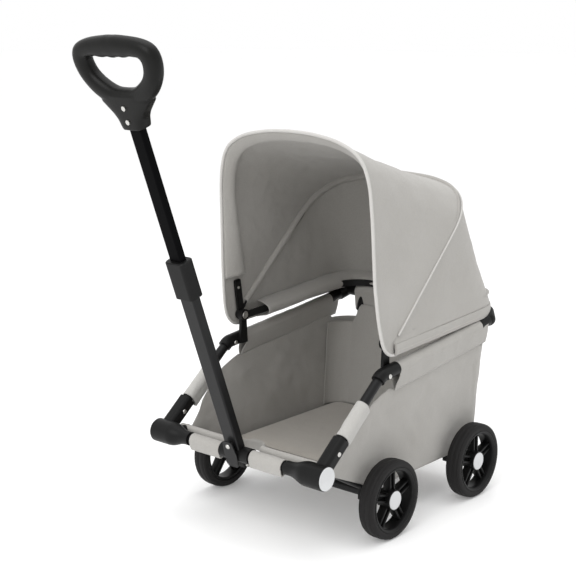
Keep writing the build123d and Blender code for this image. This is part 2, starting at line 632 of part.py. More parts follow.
with BuildPart() as upper_tube:
    with BuildSketch(handle_plane(UPPER_BOTTOM)):
        RectangleRounded(UPPER_W, UPPER_T, 3)
        RectangleRounded(UPPER_W - 2 * HANDLE_WALL, UPPER_T - 2 * HANDLE_WALL, 1.8, mode=Mode.SUBTRACT)
    extrude(amount=GRIP_BOTTOM + 46 - UPPER_BOTTOM)
    for along in (GRIP_BOTTOM + 12, GRIP_BOTTOM + 32):
        mid = CROSS + u * along
        add(rod(mid, mid + n * 20, 2 + RUN), mode=Mode.SUBTRACT)
save(upper_tube.part, "upper_tube")

with BuildPart() as guide_plug:
    with BuildSketch(handle_plane(UPPER_BOTTOM - 6)):
        RectangleRounded(lower_in_w - 2 * SLIDE, lower_in_t - 2 * SLIDE, 1.8)
    extrude(amount=5.8)
    with BuildSketch(handle_plane(UPPER_BOTTOM - 6)):
        RectangleRounded(UPPER_W - 2 * HANDLE_WALL - SLIDE, UPPER_T - 2 * HANDLE_WALL - SLIDE, 2.0)
    extrude(amount=24)
save(guide_plug.part, "guide_plug")

half = GRIP_W / 2
grip_mid = (GRIP_BOTTOM + GRIP_TOP) / 2
# right half of each outline from the neck up, then its crown, with a corner radius for each point
grip_outside = [(17, GRIP_BOTTOM), (20, GRIP_BOTTOM + 36), (half + 3, GRIP_BOTTOM + 78),
                (half - 2, GRIP_TOP - 6), (0, GRIP_TOP + 2)]
OUTSIDE_R = [1.5, 30, 34, 22, 200]
grip_window = [(24, GRIP_BOTTOM + 52), (half - 12, GRIP_BOTTOM + 80), (half - 16, GRIP_TOP - 24)]
WINDOW_R = [24, 16, 11]
with BuildPart() as pull_grip:
    with BuildSketch(face_on(-GRIP_T / 2)) as outline:
        for corners, radii, mode in ((grip_outside, OUTSIDE_R, Mode.ADD),
                                     (grip_window, WINDOW_R, Mode.SUBTRACT)):
            right = [(x, y) for x, y in corners if x > 0]
            left = [(-x, y) for x, y in reversed(right)]
            crown = [(x, y) for x, y in corners if x == 0]
            side_r = radii[:len(right)]
            with BuildLine():
                FilletPolyline(*right, *crown, *left, close=True,
                               radius=side_r + radii[len(right):] + side_r[::-1])
            make_face(mode=mode)
    extrude(amount=GRIP_T)
    with BuildSketch(handle_plane(GRIP_BOTTOM)):
        RectangleRounded(UPPER_W + 2 * SLIDE, UPPER_T + 2 * SLIDE, 3.1)
    extrude(amount=46.3, mode=Mode.SUBTRACT)
    for along in (GRIP_BOTTOM + 12, GRIP_BOTTOM + 32):
        mid = CROSS + u * along
        add(rod(mid, mid + n * 20, 2 + RUN), mode=Mode.SUBTRACT)
save(pull_grip.part, "pull_grip")

screws = []
for along in (GRIP_BOTTOM + 12, GRIP_BOTTOM + 32):
    mid = CROSS + u * along
    screws.append(rod(mid + n * (UPPER_T / 2 - HANDLE_WALL), mid + n * (GRIP_T / 2 + 0.2), 2)
                  + rod(mid + n * (GRIP_T / 2 + 0.1), mid + n * (GRIP_T / 2 + 1.8), 3.6))
save(Compound(screws), "grip_screws")

# ---------------------------------------------------------------- canopy pivots
# layers from the inside out at each pivot: rear bow, bracket, front bow, middle bow
REAR_BOW_X = SIDE_X - 16
EYE_IN = SIDE_X - 14.4
EYE_OUT = SIDE_X - 9.2
FRONT_BOW_X = SIDE_X - 7.0
MID_BOW_X = SIDE_X - 2.0
PIN_R = 3.0
EYE_R = 10.0
FITTING_T = 3.8
pivot_rivets = []

for side, sign in SIDES.items():
    with BuildPart() as canopy_bracket:
        add(bent(clamp_path(sign), [CLAMP_BEND_R], CLAMP_R))
        with BuildSketch(across(EYE_IN, 0, 0, sign)):
            with BuildLine():
                Polyline((sign * (PIVOT_Y - 9), BEND_Z - 4), (sign * (PIVOT_Y + 9), BEND_Z - 4),
                         (sign * (PIVOT_Y + 6), PIVOT_Z), (sign * (PIVOT_Y - 6), PIVOT_Z), close=True)
            make_face()
            with Locations((sign * PIVOT_Y, PIVOT_Z)):
                Circle(EYE_R)
        extrude(amount=EYE_OUT - EYE_IN)
        with BuildSketch(across(EYE_IN, 0, 0, sign)):
            with Locations((sign * PIVOT_Y, top_z(PIVOT_Y))):
                Rectangle(15, 14)
        extrude(amount=SIDE_X - EYE_IN)
        add(bent(side_path(sign), [BEND_R], TUBE_R + SEAT), mode=Mode.SUBTRACT)
        add(rod((sign * 100, PIVOT_Y, PIVOT_Z), (sign * 200, PIVOT_Y, PIVOT_Z), PIN_R + RUN),
            mode=Mode.SUBTRACT)
        add(rod((sign * (SIDE_X - 20), clamp_rivet.Y, clamp_rivet.Z),
                (sign * (SIDE_X + 20), clamp_rivet.Y, clamp_rivet.Z), RIVET_R + SEAT), mode=Mode.SUBTRACT)
    save(canopy_bracket.part, f"canopy_bracket_{side}")
    pivot_rivets.append(rivet((sign * (REAR_BOW_X - BOW_THICK / 2 - GAP), PIVOT_Y, PIVOT_Z),
                              (sign * (MID_BOW_X + BOW_THICK / 2 + GAP), PIVOT_Y, PIVOT_Z),
                              PIN_R, 6.5, 1.3))
save(Compound(pivot_rivets), "canopy_pivot_rivets")


# ---------------------------------------------------------------- canopy bows
def bow_plane(angle):
    """Plane of a bow: x across the wagon, y out from the pivots' axis."""
    tilt = math.radians(angle)
    return Plane(origin=PIVOT, x_dir=(1, 0, 0), z_dir=(0, -math.sin(tilt), math.cos(tilt)))


def bow_points(half_width, top, start):
    """Half outline of a bow, from a leg's start to the crown on the middle plane."""
    return [(half_width, start), (half_width - 0.02 * top, top - 0.05 * top), (0, top)]


def bow_line(half_width, top, start, radius=BOW_CORNER_R, crown=400):
    """Line of a whole bow in the current BuildLine."""
    right = bow_points(half_width, top, start)
    left = [(-x, y) for x, y in reversed(right[:2])]
    FilletPolyline(*right, *left, radius=[radius, crown, radius])


def bow_band(half_width, top, start, thick, radius=BOW_CORNER_R):
    """Face between a bow line and the same line moved inwards."""
    for inset, mode in ((0, Mode.ADD), (thick, Mode.SUBTRACT)):
        with BuildSketch(mode=Mode.PRIVATE) as face:
            with BuildLine():
                bow_line(half_width - inset, top - inset, start, radius - inset)
                Line((half_width - inset, start), (-half_width + inset, start))
            make_face()
        add(face.sketch, mode=mode)


SOCKET_START = 34.0  # bow strip's end inside its fitting
FITTING_L = 62.0

with BuildPart() as front_bow:
    with BuildSketch(bow_plane(FRONT_BOW_ANGLE).offset(-BOW_WIDE / 2)):
        bow_band(FRONT_BOW_X + BOW_THICK / 2, FRONT_EDGE_TOP - 9.5, SOCKET_START, BOW_THICK)
    extrude(amount=BOW_WIDE)
    for sign in SIDES.values():
        mid = bow_plane(FRONT_BOW_ANGLE).from_local_coords(Vector(sign * FRONT_BOW_X, 48, 0))
        add(rod(mid - Vector(10, 0, 0), mid + Vector(10, 0, 0), 1.6 + RUN), mode=Mode.SUBTRACT)
save(front_bow.part, "front_bow")

ends, end_rivets = [], []
for sign in SIDES.values():
    low = sign * (FRONT_BOW_X - FITTING_T / 2)
    out = bow_plane(FRONT_BOW_ANGLE).y_dir
    fitting_plane = Plane(origin=PIVOT + Vector(low, 0, 0), x_dir=out, z_dir=(sign, 0, 0))
    with BuildPart() as bow_end:
        with BuildSketch(fitting_plane):
            Circle(EYE_R)
            with Locations((FITTING_L / 2, 0)):
                RectangleRounded(FITTING_L, BOW_WIDE + 4, 3)
        extrude(amount=FITTING_T)
        with BuildSketch(bow_plane(FRONT_BOW_ANGLE).offset(-BOW_WIDE / 2 - SEAT)):
            bow_band(FRONT_BOW_X + BOW_THICK / 2 + SEAT, FRONT_EDGE_TOP - 9.5, SOCKET_START - SEAT,
                     BOW_THICK + 2 * SEAT)
        extrude(amount=BOW_WIDE + 2 * SEAT, mode=Mode.SUBTRACT)
        add(rod(PIVOT, PIVOT + Vector(sign * 200, 0, 0), PIN_R + RUN), mode=Mode.SUBTRACT)
        mid = bow_plane(FRONT_BOW_ANGLE).from_local_coords(Vector(sign * FRONT_BOW_X, 48, 0))
        add(rod(mid - Vector(10, 0, 0), mid + Vector(10, 0, 0), 1.6 + RUN), mode=Mode.SUBTRACT)
    ends.append(bow_end.part)
    end_rivets.append(rivet(mid - Vector(sign * (FITTING_T / 2 + 0.1), 0, 0),
                            mid + Vector(sign * (FITTING_T / 2 + 0.1), 0, 0), 1.6, 2.6, 0.9))
save(Compound(ends), "front_bow_ends")
save(Compound(end_rivets), "front_bow_rivets")

MID_EYE_T = 1.8
MID_ROD_START = 14.0
with BuildPart() as mid_bow:
    mid_plane = bow_plane(MID_BOW_ANGLE)
    half_line = bow_points(MID_BOW_X, MID_EDGE_TOP - 5, MID_ROD_START)
    whole = half_line + [(-x, y) for x, y in reversed(half_line[:2])]
    points = [tuple(mid_plane.from_local_coords(Vector(x, y, 0))) for x, y in whole]
    add(bent(points, [BOW_CORNER_R, 400, BOW_CORNER_R], BOW_ROD_D / 2))
    for sign in SIDES.values():
        with BuildSketch(Plane(origin=PIVOT + Vector(sign * (MID_BOW_X - MID_EYE_T / 2), 0, 0),
                               x_dir=mid_plane.y_dir, z_dir=(sign, 0, 0))):
            Circle(EYE_R - 2)
            with Locations((10, 0)):
                Rectangle(20, 6)
        extrude(amount=MID_EYE_T)
    add(rod((-200, PIVOT_Y, PIVOT_Z), (200, PIVOT_Y, PIVOT_Z), PIN_R + RUN), mode=Mode.SUBTRACT)
save(mid_bow.part, "mid_bow")

rear_plane = bow_plane(REAR_BOW_ANGLE)
with BuildPart() as rear_bow:
    with BuildSketch(rear_plane.offset(-6)):
        bow_band(REAR_BOW_X + BOW_THICK / 2, REAR_EDGE_TOP - 9, 0.5, BOW_THICK, radius=55)
    extrude(amount=12)
    for sign in SIDES.values():
        with BuildSketch(Plane(origin=PIVOT + Vector(sign * (REAR_BOW_X - BOW_THICK / 2), 0, 0),
                               x_dir=rear_plane.y_dir, z_dir=(sign, 0, 0))):
            Circle(EYE_R)
        extrude(amount=BOW_THICK)
    add(rod((-200, PIVOT_Y, PIVOT_Z), (200, PIVOT_Y, PIVOT_Z), PIN_R + RUN), mode=Mode.SUBTRACT)
save(rear_bow.part, "rear_bow")

# ---------------------------------------------------------------- canopy fabric
PANEL_START = 26.0
MID_SPLIT = 0.2  # degrees between the two panels' edges at the middle bow

with BuildPart() as canopy_front:
    with BuildSketch(bow_plane(FRONT_EDGE_ANGLE)):
        bow_band(CANOPY_X - 1.6, FRONT_EDGE_TOP, PANEL_START, CLOTH)
    with BuildSketch(bow_plane(MID_BOW_ANGLE + MID_SPLIT)):
        bow_band(CANOPY_X, MID_EDGE_TOP, PANEL_START, CLOTH)
    loft(ruled=True)
save(canopy_front.part, "canopy_front")

with BuildPart() as canopy_rear:
    with BuildSketch(bow_plane(MID_BOW_ANGLE - MID_SPLIT)):
        bow_band(CANOPY_X, MID_EDGE_TOP, PANEL_START, CLOTH)
    with BuildSketch(bow_plane(REAR_BOW_ANGLE)):
        bow_band(CANOPY_X + 3, REAR_EDGE_TOP, PANEL_START, CLOTH, radius=60)
    loft(ruled=True)
    for sign in SIDES.values():
        with BuildSketch(across(CANOPY_X + 1.3 - CLOTH, 0, 0, sign)):
            with BuildLine():
                Polyline(*[(sign * y, z) for y, z in (
                    (PIVOT_Y - 19, PIVOT_Z + 14), (PIVOT_Y - 17, PIVOT_Z - 6), (PIVOT_Y - 2, PIVOT_Z - 19),
                    (PIVOT_Y + 80, PIVOT_Z - 18), (SIDE_BACK_Y - 6, top_z(SIDE_BACK_Y) + 12),
                    (SIDE_BACK_Y - 6, PIVOT_Z + 18), (PIVOT_Y + 60, PIVOT_Z + 10))], close=True)
            make_face()
        extrude(amount=CLOTH)
save(canopy_rear.part, "canopy_rear")
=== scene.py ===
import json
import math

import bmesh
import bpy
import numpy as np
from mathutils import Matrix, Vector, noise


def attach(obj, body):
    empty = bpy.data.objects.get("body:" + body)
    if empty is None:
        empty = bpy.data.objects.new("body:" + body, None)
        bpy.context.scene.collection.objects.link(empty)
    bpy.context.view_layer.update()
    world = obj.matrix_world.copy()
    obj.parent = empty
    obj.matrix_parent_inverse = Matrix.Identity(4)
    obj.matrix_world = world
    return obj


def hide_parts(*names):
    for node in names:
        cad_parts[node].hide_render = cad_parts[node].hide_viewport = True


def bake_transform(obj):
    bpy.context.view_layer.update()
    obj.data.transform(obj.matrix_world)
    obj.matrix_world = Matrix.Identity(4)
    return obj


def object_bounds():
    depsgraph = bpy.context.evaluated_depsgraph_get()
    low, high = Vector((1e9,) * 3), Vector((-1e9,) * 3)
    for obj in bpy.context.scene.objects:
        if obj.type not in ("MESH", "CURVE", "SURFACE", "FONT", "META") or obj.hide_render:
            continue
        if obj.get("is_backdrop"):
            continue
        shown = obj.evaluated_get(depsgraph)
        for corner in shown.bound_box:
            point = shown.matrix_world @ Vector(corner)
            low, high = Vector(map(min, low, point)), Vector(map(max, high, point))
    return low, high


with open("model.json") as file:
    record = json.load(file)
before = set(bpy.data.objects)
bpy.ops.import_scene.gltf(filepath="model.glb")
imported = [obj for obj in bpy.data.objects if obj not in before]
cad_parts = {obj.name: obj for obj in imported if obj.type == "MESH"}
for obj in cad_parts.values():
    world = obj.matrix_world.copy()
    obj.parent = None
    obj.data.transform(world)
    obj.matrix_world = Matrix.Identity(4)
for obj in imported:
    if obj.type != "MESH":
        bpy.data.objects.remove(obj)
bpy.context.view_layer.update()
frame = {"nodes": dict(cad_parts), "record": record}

# %% [markdown]
# # A kids pull wagon
# The wagon is a frame of black tubes that carries a sewn tub, four small wheels, a
# pull handle that telescopes and a canopy on three bows. The hard pieces come from the
# CAD model, which is already in the scene. This lesson gives every piece its finish,
# and makes again, in finer detail, the ones whose shape a CAD solid only hints at:
# above all the cloth. Lengths are in millimetres until a mesh is made.

MM = 0.001
nodes = frame["nodes"]

# %% [markdown]
# ## Where the tubes run
# Cloth follows the tubes, so their lines come first. The side tubes climb from the
# front corners, bend, and run back almost level.

# %% Lines of the frame
SIDES = {"left": -1, "right": 1}
SIDE_X = 162.0
CROSS_Y, CROSS_Z = -155.0, 139.0
REAR_Y, REAR_Z = 311.0, 304.0
BEND_Y = -5.0
SLOPE = math.tan(math.radians(39.0))
RUN = math.tan(math.radians(6.2))
BEND_Z = CROSS_Z + (BEND_Y - CROSS_Y) * SLOPE
PIVOT = np.array([0.0, 21.0, 305.0])
LEAN = math.radians(20.5)
WHEEL_R = 63.5
AXLES = {"front": 0.0, "rear": 238.0}


def run_z(y):
    """Height of a side tube's middle behind the bend."""
    return BEND_Z + (y - BEND_Y) * RUN


def slope_z(y):
    """Height of a side tube's middle ahead of the bend."""
    return CROSS_Z + (y - CROSS_Y) * SLOPE


print("bend at", BEND_Y, round(BEND_Z, 1))

# %% [markdown]
# ## Mesh helpers
# Most cloth starts as a grid of points, because a grid is easy to bend by formula. Its
# UV map holds real metres along the cloth, so a weave drawn on it has the same scale on
# every piece. Solidify then gives the sheet its thickness.

# %% Grids, sheets and turned shapes
def soft(x, y, z, size, seed=0.0):
    """Smooth noise between -1 and 1 with bumps about size millimetres across."""
    return noise.noise(Vector((x / size + seed * 7.1, y / size - seed * 3.3, z / size + seed * 5.7)))


def link(name, mesh):
    """A new object for a mesh, smooth shaded."""
    piece = bpy.data.objects.new(name, mesh)
    bpy.context.scene.collection.objects.link(piece)
    mesh.polygons.foreach_set("use_smooth", [True] * len(mesh.polygons))
    return piece


def grid(name, points, wrap=False):
    """A sheet from rows of points in millimetres; wrap joins the last column to the first."""
    points = np.asarray(points, float)
    rows, cols = points.shape[:2]
    ring = np.concatenate([points, points[:, :1]], axis=1) if wrap else points
    across = np.linalg.norm(np.diff(ring, axis=1), axis=2).mean(0)
    down = np.linalg.norm(np.diff(points, axis=0), axis=2).mean(1)
    u = np.concatenate([[0], np.cumsum(across)]) * MM
    v = np.concatenate([[0], np.cumsum(down)]) * MM
    faces, uvs = [], []
    for i in range(rows - 1):
        for j in range(ring.shape[1] - 1):
            k = (j + 1) % cols
            faces.append((i * cols + j, i * cols + k, (i + 1) * cols + k, (i + 1) * cols + j))
            uvs += [(u[j], v[i]), (u[j + 1], v[i]), (u[j + 1], v[i + 1]), (u[j], v[i + 1])]
    mesh = bpy.data.meshes.new(name)
    mesh.from_pydata((points.reshape(-1, 3) * MM).tolist(), [], faces)
    layer = mesh.uv_layers.new(name="cloth")
    layer.data.foreach_set("uv", np.array(uvs, np.float32).ravel())
    return link(name, mesh)


def outward(piece):
    """Merge doubles and point the faces outwards."""
    bm = bmesh.new()
    bm.from_mesh(piece.data)
    bmesh.ops.remove_doubles(bm, verts=bm.verts, dist=1e-6)
    bmesh.ops.recalc_face_normals(bm, faces=bm.faces)
    bm.to_mesh(piece.data)
    bm.free()
    return piece


def open_edges(bm):
    """The edges round the openings of a mesh."""
    return [edge for edge in bm.edges if edge.is_boundary]


def bake(piece):
    """Turn a piece's modifiers into plain mesh."""
    graph = bpy.context.evaluated_depsgraph_get()
    mesh = bpy.data.meshes.new_from_object(piece.evaluated_get(graph))
    piece.modifiers.clear()
    old = piece.data
    piece.data = mesh
    bpy.data.meshes.remove(old)
    return piece


def thicken(piece, thickness, level=0, offset=0.0):
    """Give a sheet its thickness in millimetres, and a subdivision on top."""
    shell = piece.modifiers.new("thickness", "SOLIDIFY")
    shell.thickness = thickness * MM
    shell.offset = offset
    shell.use_even_offset = True
    if level:
        finer = piece.modifiers.new("finer", "SUBSURF")
        finer.levels = finer.render_levels = level
    return outward(bake(piece))


def rounded(piece, width, segments=2, angle=35):
    """Round the sharp edges of a piece."""
    bevel = piece.modifiers.new("rounded", "BEVEL")
    bevel.width = width * MM
    bevel.segments = segments
    bevel.limit_method = "ANGLE"
    bevel.angle_limit = math.radians(angle)
    bevel.harden_normals = False
    return outward(bake(piece))


def sharpen(piece, angle=35):
    """Shade flat across edges sharper than an angle."""
    mesh = piece.data
    bm = bmesh.new()
    bm.from_mesh(mesh)
    for edge in bm.edges:
        if len(edge.link_faces) == 2 and edge.calc_face_angle(0) > math.radians(angle):
            edge.smooth = False
    bm.to_mesh(mesh)
    bm.free()
    return piece


def turned(name, profile, origin, axis, segments=72):
    """A solid of revolution from (along, radius) points, in millimetres, on an axis."""
    axis = Vector(axis).normalized()
    side = axis.orthogonal().normalized()
    up = axis.cross(side)
    rings = []
    for k in range(segments):
        a = 2 * math.pi * k / segments
        way = side * math.cos(a) + up * math.sin(a)
        rings.append([np.array(Vector(origin) + axis * x + way * max(r, 0.001)) for x, r in profile])
    return outward(grid(name, np.array(rings).transpose(1, 0, 2), wrap=True))


def closed_profile(profile):
    """The same profile with its first point again at the end."""
    return list(profile) + [profile[0]]


def frames(path):
    """Unit tangents of a path."""
    path = np.asarray(path, float)
    way = np.gradient(path, axis=0)
    return way / np.linalg.norm(way, axis=1)[:, None]


def smooth_path(points, count):
    """A smooth line through points, cut into equal steps."""
    points = np.asarray(points, float)
    n = len(points)
    padded = np.concatenate([[2 * points[0] - points[1]], points, [2 * points[-1] - points[-2]]])
    fine = []
    for i in range(n - 1):
        a, b, c, d = padded[i:i + 4]
        for t in np.linspace(0, 1, 24, endpoint=i == n - 2):
            fine.append(0.5 * (2 * b + (c - a) * t + (2 * a - 5 * b + 4 * c - d) * t * t
                               + (3 * b - a - 3 * c + d) * t ** 3))
    return spaced(fine, count)


def spaced(line, count):
    """The same line, cut into equal steps."""
    line = np.asarray(line, float)
    far = np.concatenate([[0], np.cumsum(np.linalg.norm(np.diff(line, axis=0), axis=1))])
    at = np.linspace(0, far[-1], count)
    return np.stack([np.interp(at, far, line[:, k]) for k in range(line.shape[1])], axis=1)


# %% [markdown]
# ## Writing shaders as sums
# A shader is a chain of small nodes. Wrapping a socket in a class lets Python's own
# operators add the Math nodes, so that a pattern reads like a formula.

# %% A socket that can be added and multiplied
class Flow:
    """A shader socket that takes part in sums."""

    def __init__(self, shader, socket):
        self.shader, self.socket = shader, socket

    def math(self, how, other=0.0):
        return self.shader.add("ShaderNodeMath", {"operation": how}, {0: self, 1: other})

    def __add__(self, other):
        return self.math("ADD", other)

    def __sub__(self, other):
        return self.math("SUBTRACT", other)

    def __mul__(self, other):
        return self.math("MULTIPLY", other)

    __radd__ = __add__
    __rmul__ = __mul__


class Finish:
    """A material with a Principled shader, built node by node."""

    def __init__(self, name, **uniform):
        self.material = bpy.data.materials.new(name)
        self.material.use_nodes = True
        self.tree = self.material.node_tree
        self.shader = self.tree.nodes["Principled BSDF"]
        for key, value in uniform.items():
            self.shader.inputs[key.replace("_", " ")].default_value = value

    def add(self, kind, settings=None, sockets=None, out=0):
        """One node: its settings first, then the values or links of its sockets."""
        node = self.tree.nodes.new(kind)
        for key, value in (settings or {}).items():
            if key == "stops":
                for stop, (place, colour) in zip(node.color_ramp.elements, value):
                    stop.position, stop.color = place, colour
            else:
                setattr(node, key, value)
        for key, value in (sockets or {}).items():
            if isinstance(value, Flow):
                self.tree.links.new(value.socket, node.inputs[key])
            else:
                node.inputs[key].default_value = value
        return Flow(self, node.outputs[out])

    def noise(self, where, scale, detail=3.0, rough=0.5):
        return self.add("ShaderNodeTexNoise", {}, {"Vector": where, "Scale": scale, "Detail": detail,
                                                   "Roughness": rough})

    def place(self):
        """Object coordinates, in metres."""
        return self.add("ShaderNodeTexCoord", out=3)

    def cloth(self):
        """Metres along the cloth, from the piece's UV map."""
        return self.add("ShaderNodeUVMap", {"uv_map": "cloth"})

    def between(self, share, first, second):
        return self.add("ShaderNodeMix", {"data_type": "RGBA"}, {0: share, 6: (*first, 1), 7: (*second, 1)}, out=2)

    def bump(self, height, strength, distance, under=None):
        sockets = {"Strength": strength, "Distance": distance, "Height": height}
        if under is not None:
            sockets["Normal"] = under
        return self.add("ShaderNodeBump", {}, sockets)

    def feed(self, **links):
        for key, flow in links.items():
            self.tree.links.new(flow.socket, self.shader.inputs[key.replace("_", " ")])
        return self.material


def linear(r, g, b):
    """A screen colour, 0 to 255, as the linear values a shader takes."""
    return tuple(((c / 255 + 0.055) / 1.055) ** 2.4 if c > 10 else c / 255 / 12.92 for c in (r, g, b))


# %% [markdown]
# ## The finishes
# Plain-weave polyester is matt with a soft sheen. Threads of two close greys cross at
# right angles, about half a millimetre apart, and a few thicker ones stand out. A sine
# along each thread direction gives that, and noise keeps it from looking printed.

# %% Woven cloth
def woven(name, light, dark, thread=0.9, sheen=0.25):
    """Plain-weave cloth in two close shades, threads in millimetres."""
    f = Finish(name, Roughness=0.86, Sheen_Weight=sheen, Sheen_Roughness=0.6, Specular_IOR_Level=0.25)
    cloth = f.cloth()
    split = f.add("ShaderNodeSeparateXYZ", {}, {0: cloth})
    second = Flow(f, split.socket.node.outputs[1])
    turns = 2 * math.pi / (thread * MM)
    warp = (split * turns).math("SINE")
    weft = (second * turns).math("SINE")
    weave = warp * weft
    slub = f.noise(cloth, 420.0, 4.0, 0.6)
    cloud = f.noise(f.place(), 7.0, 3.0)
    mixed = weave * 0.2 + slub * 0.9 + cloud * 0.7 - 0.4
    colour = f.between(mixed, dark, light)
    under = f.bump(f.noise(f.place(), 24.0, 4.0, 0.55), 0.4, 0.006)
    relief = f.bump(weave * 0.5 + slub * 0.5, 0.35, 0.0004, under)
    rough = slub * 0.12 + 0.8
    return f.feed(Base_Color=colour, Normal=relief, Roughness=rough)


CLOTH = woven("grey_cloth", linear(173, 171, 167), linear(150, 147, 142))
# A lighter copy of the grey cloth: painted light for the slope sleeves, which face up into the light.
LIT_SLEEVE_CLOTH = woven("sleeve_cloth", linear(188, 187, 184), linear(166, 164, 160))
PAD = woven("pad_cloth", linear(176, 171, 164), linear(152, 147, 139), thread=1.2)
# A lighter copy of the grey cloth for the piping and the front binding: a painted highlight on rolled edges.
LIT_EDGE_CLOTH = woven("piping_cloth", linear(200, 198, 195), linear(182, 180, 176), thread=0.7)
print("cloth finishes made")

# %% [markdown]
# The moulded pieces are black nylon with a fine spark-eroded grain that breaks up the
# gloss. The tubes are powder coated: smoother, with an orange-peel ripple. The tread
# rings are foamed rubber, the duller of the three.

# %% Plastic, paint, rubber and steel
def moulded(name, colour, rough, grain=900.0, relief=0.25, coat=0.0, gloss=0.22):
    """Moulded plastic with a fine grain."""
    f = Finish(name, Specular_IOR_Level=gloss, Coat_Weight=coat, Coat_Roughness=0.3)
    where = f.place()
    fine = f.noise(where, grain, 2.0)
    worn = f.noise(where, 35.0, 4.0)
    lighter = tuple(min(1, c * 1.5 + 0.002) for c in colour)
    return f.feed(Base_Color=f.between(worn * 0.6 + fine * 0.25, colour, lighter),
                  Roughness=worn * 0.16 + fine * 0.1 + (rough - 0.13),
                  Normal=f.bump(fine, relief, 0.0004))


BLACK = moulded("black_plastic", linear(14, 14, 14), 0.42, gloss=0.16)
GRIP = moulded("grip_plastic", linear(13, 13, 12), 0.38, grain=700.0, gloss=0.16)
WHITE = moulded("white_plastic", linear(186, 187, 188), 0.4, grain=500.0, relief=0.06, gloss=0.3)
TYRE = moulded("tread_foam", linear(24, 23, 23), 0.66, grain=1400.0, relief=0.35, gloss=0.2)
TUBE = moulded("black_tube", linear(12, 12, 13), 0.36, grain=260.0, relief=0.08, gloss=0.24)
DARK = moulded("inner_tube", linear(5, 5, 6), 0.4, grain=260.0, relief=0.05, gloss=0.02)
BOW = moulded("bow_strip", linear(16, 16, 16), 0.5)
BOARD = moulded("board", linear(120, 98, 74), 0.8, grain=300.0)


def plated(name):
    """Zinc-plated steel, faintly brushed."""
    f = Finish(name, Metallic=1.0)
    brushed = f.noise(f.add("ShaderNodeMapping", {}, {0: f.place(), 3: (1, 1, 14)}), 420.0, 3.0)
    return f.feed(Base_Color=f.between(brushed, linear(186, 184, 180), linear(214, 213, 210)),
                  Roughness=brushed * 0.2 + 0.2, Normal=f.bump(brushed, 0.1, 0.0002))


STEEL = plated("plated_steel")
print("hard finishes made")


# %% Giving a finish and a body to a piece
def dress(piece, finish, body=None, stands_for=()):
    """Paint a piece, seat it on its body and hide the parts it replaces."""
    piece.data.materials.clear()
    piece.data.materials.append(finish)
    if body:
        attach(piece, body)
    if stands_for:
        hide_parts(*stands_for)
    return piece


FINISH_OF_SLOT = {"tread_foam": TYRE, "black_plastic": BLACK, "white_plastic": WHITE,
                  "plated_steel": STEEL, "black_tube": TUBE, "bow_strip": BOW, "grey_cloth": CLOTH,
                  "board": BOARD, "pad_cloth": PAD}
for row in frame["record"]["subparts"]:
    mesh = nodes[row["node"]].data
    mesh.materials.clear()
    mesh.materials.append(FINISH_OF_SLOT[row["material_slot"]])
nodes["upper_tube"].data.materials[0] = DARK
print(len(nodes), "CAD nodes painted")

# %% [markdown]
# ## Wheels
# Each wheel is a foamed tread ring on a moulded rim. The tread is one turned profile:
# flat across the middle, with round shoulders, a fine groove by each shoulder and a
# step down to the rim. A turned profile is the natural way to make it.

# %% Tread rings
TREAD = [(-12.6, 51.3), (-13.7, 53.5), (-13.7, 58.2), (-12.9, 60.6), (-11.4, 62.2), (-9.6, 62.9), (-9.1, 62.3),
         (-8.6, 62.95), (-5.6, 63.5), (-0.5, 63.5), (0, 63.1), (0.5, 63.5), (5.6, 63.5), (8.6, 62.95),
         (9.1, 62.3), (9.6, 62.9), (11.4, 62.2), (12.9, 60.6), (13.7, 58.2), (13.7, 54.2), (13.0, 52.6),
         (12.0, 51.6), (11.2, 51.05), (-11.2, 51.05)]
for end, axle_y in AXLES.items():
    for side, sign in SIDES.items():
        middle = (sign * 177.3, axle_y, WHEEL_R)
        tread = turned(f"tread_{end}_{side}", closed_profile([(sign * a, r) for a, r in TREAD]), middle, (1, 0, 0),
                       segments=96)
        dress(tread, TYRE, f"wheel_{end}_{side}", (f"tyre_{end}_{side}",))
print("tread ring has", len(tread.data.polygons), "faces")

# %% [markdown]
# The rim is a barrel and a hub joined by five spokes, each a web with a raised rib along
# both edges. One spoke is modelled once; a small Geometry Nodes tree repeats it round
# the hub, which is what a mould maker's drawing does too.

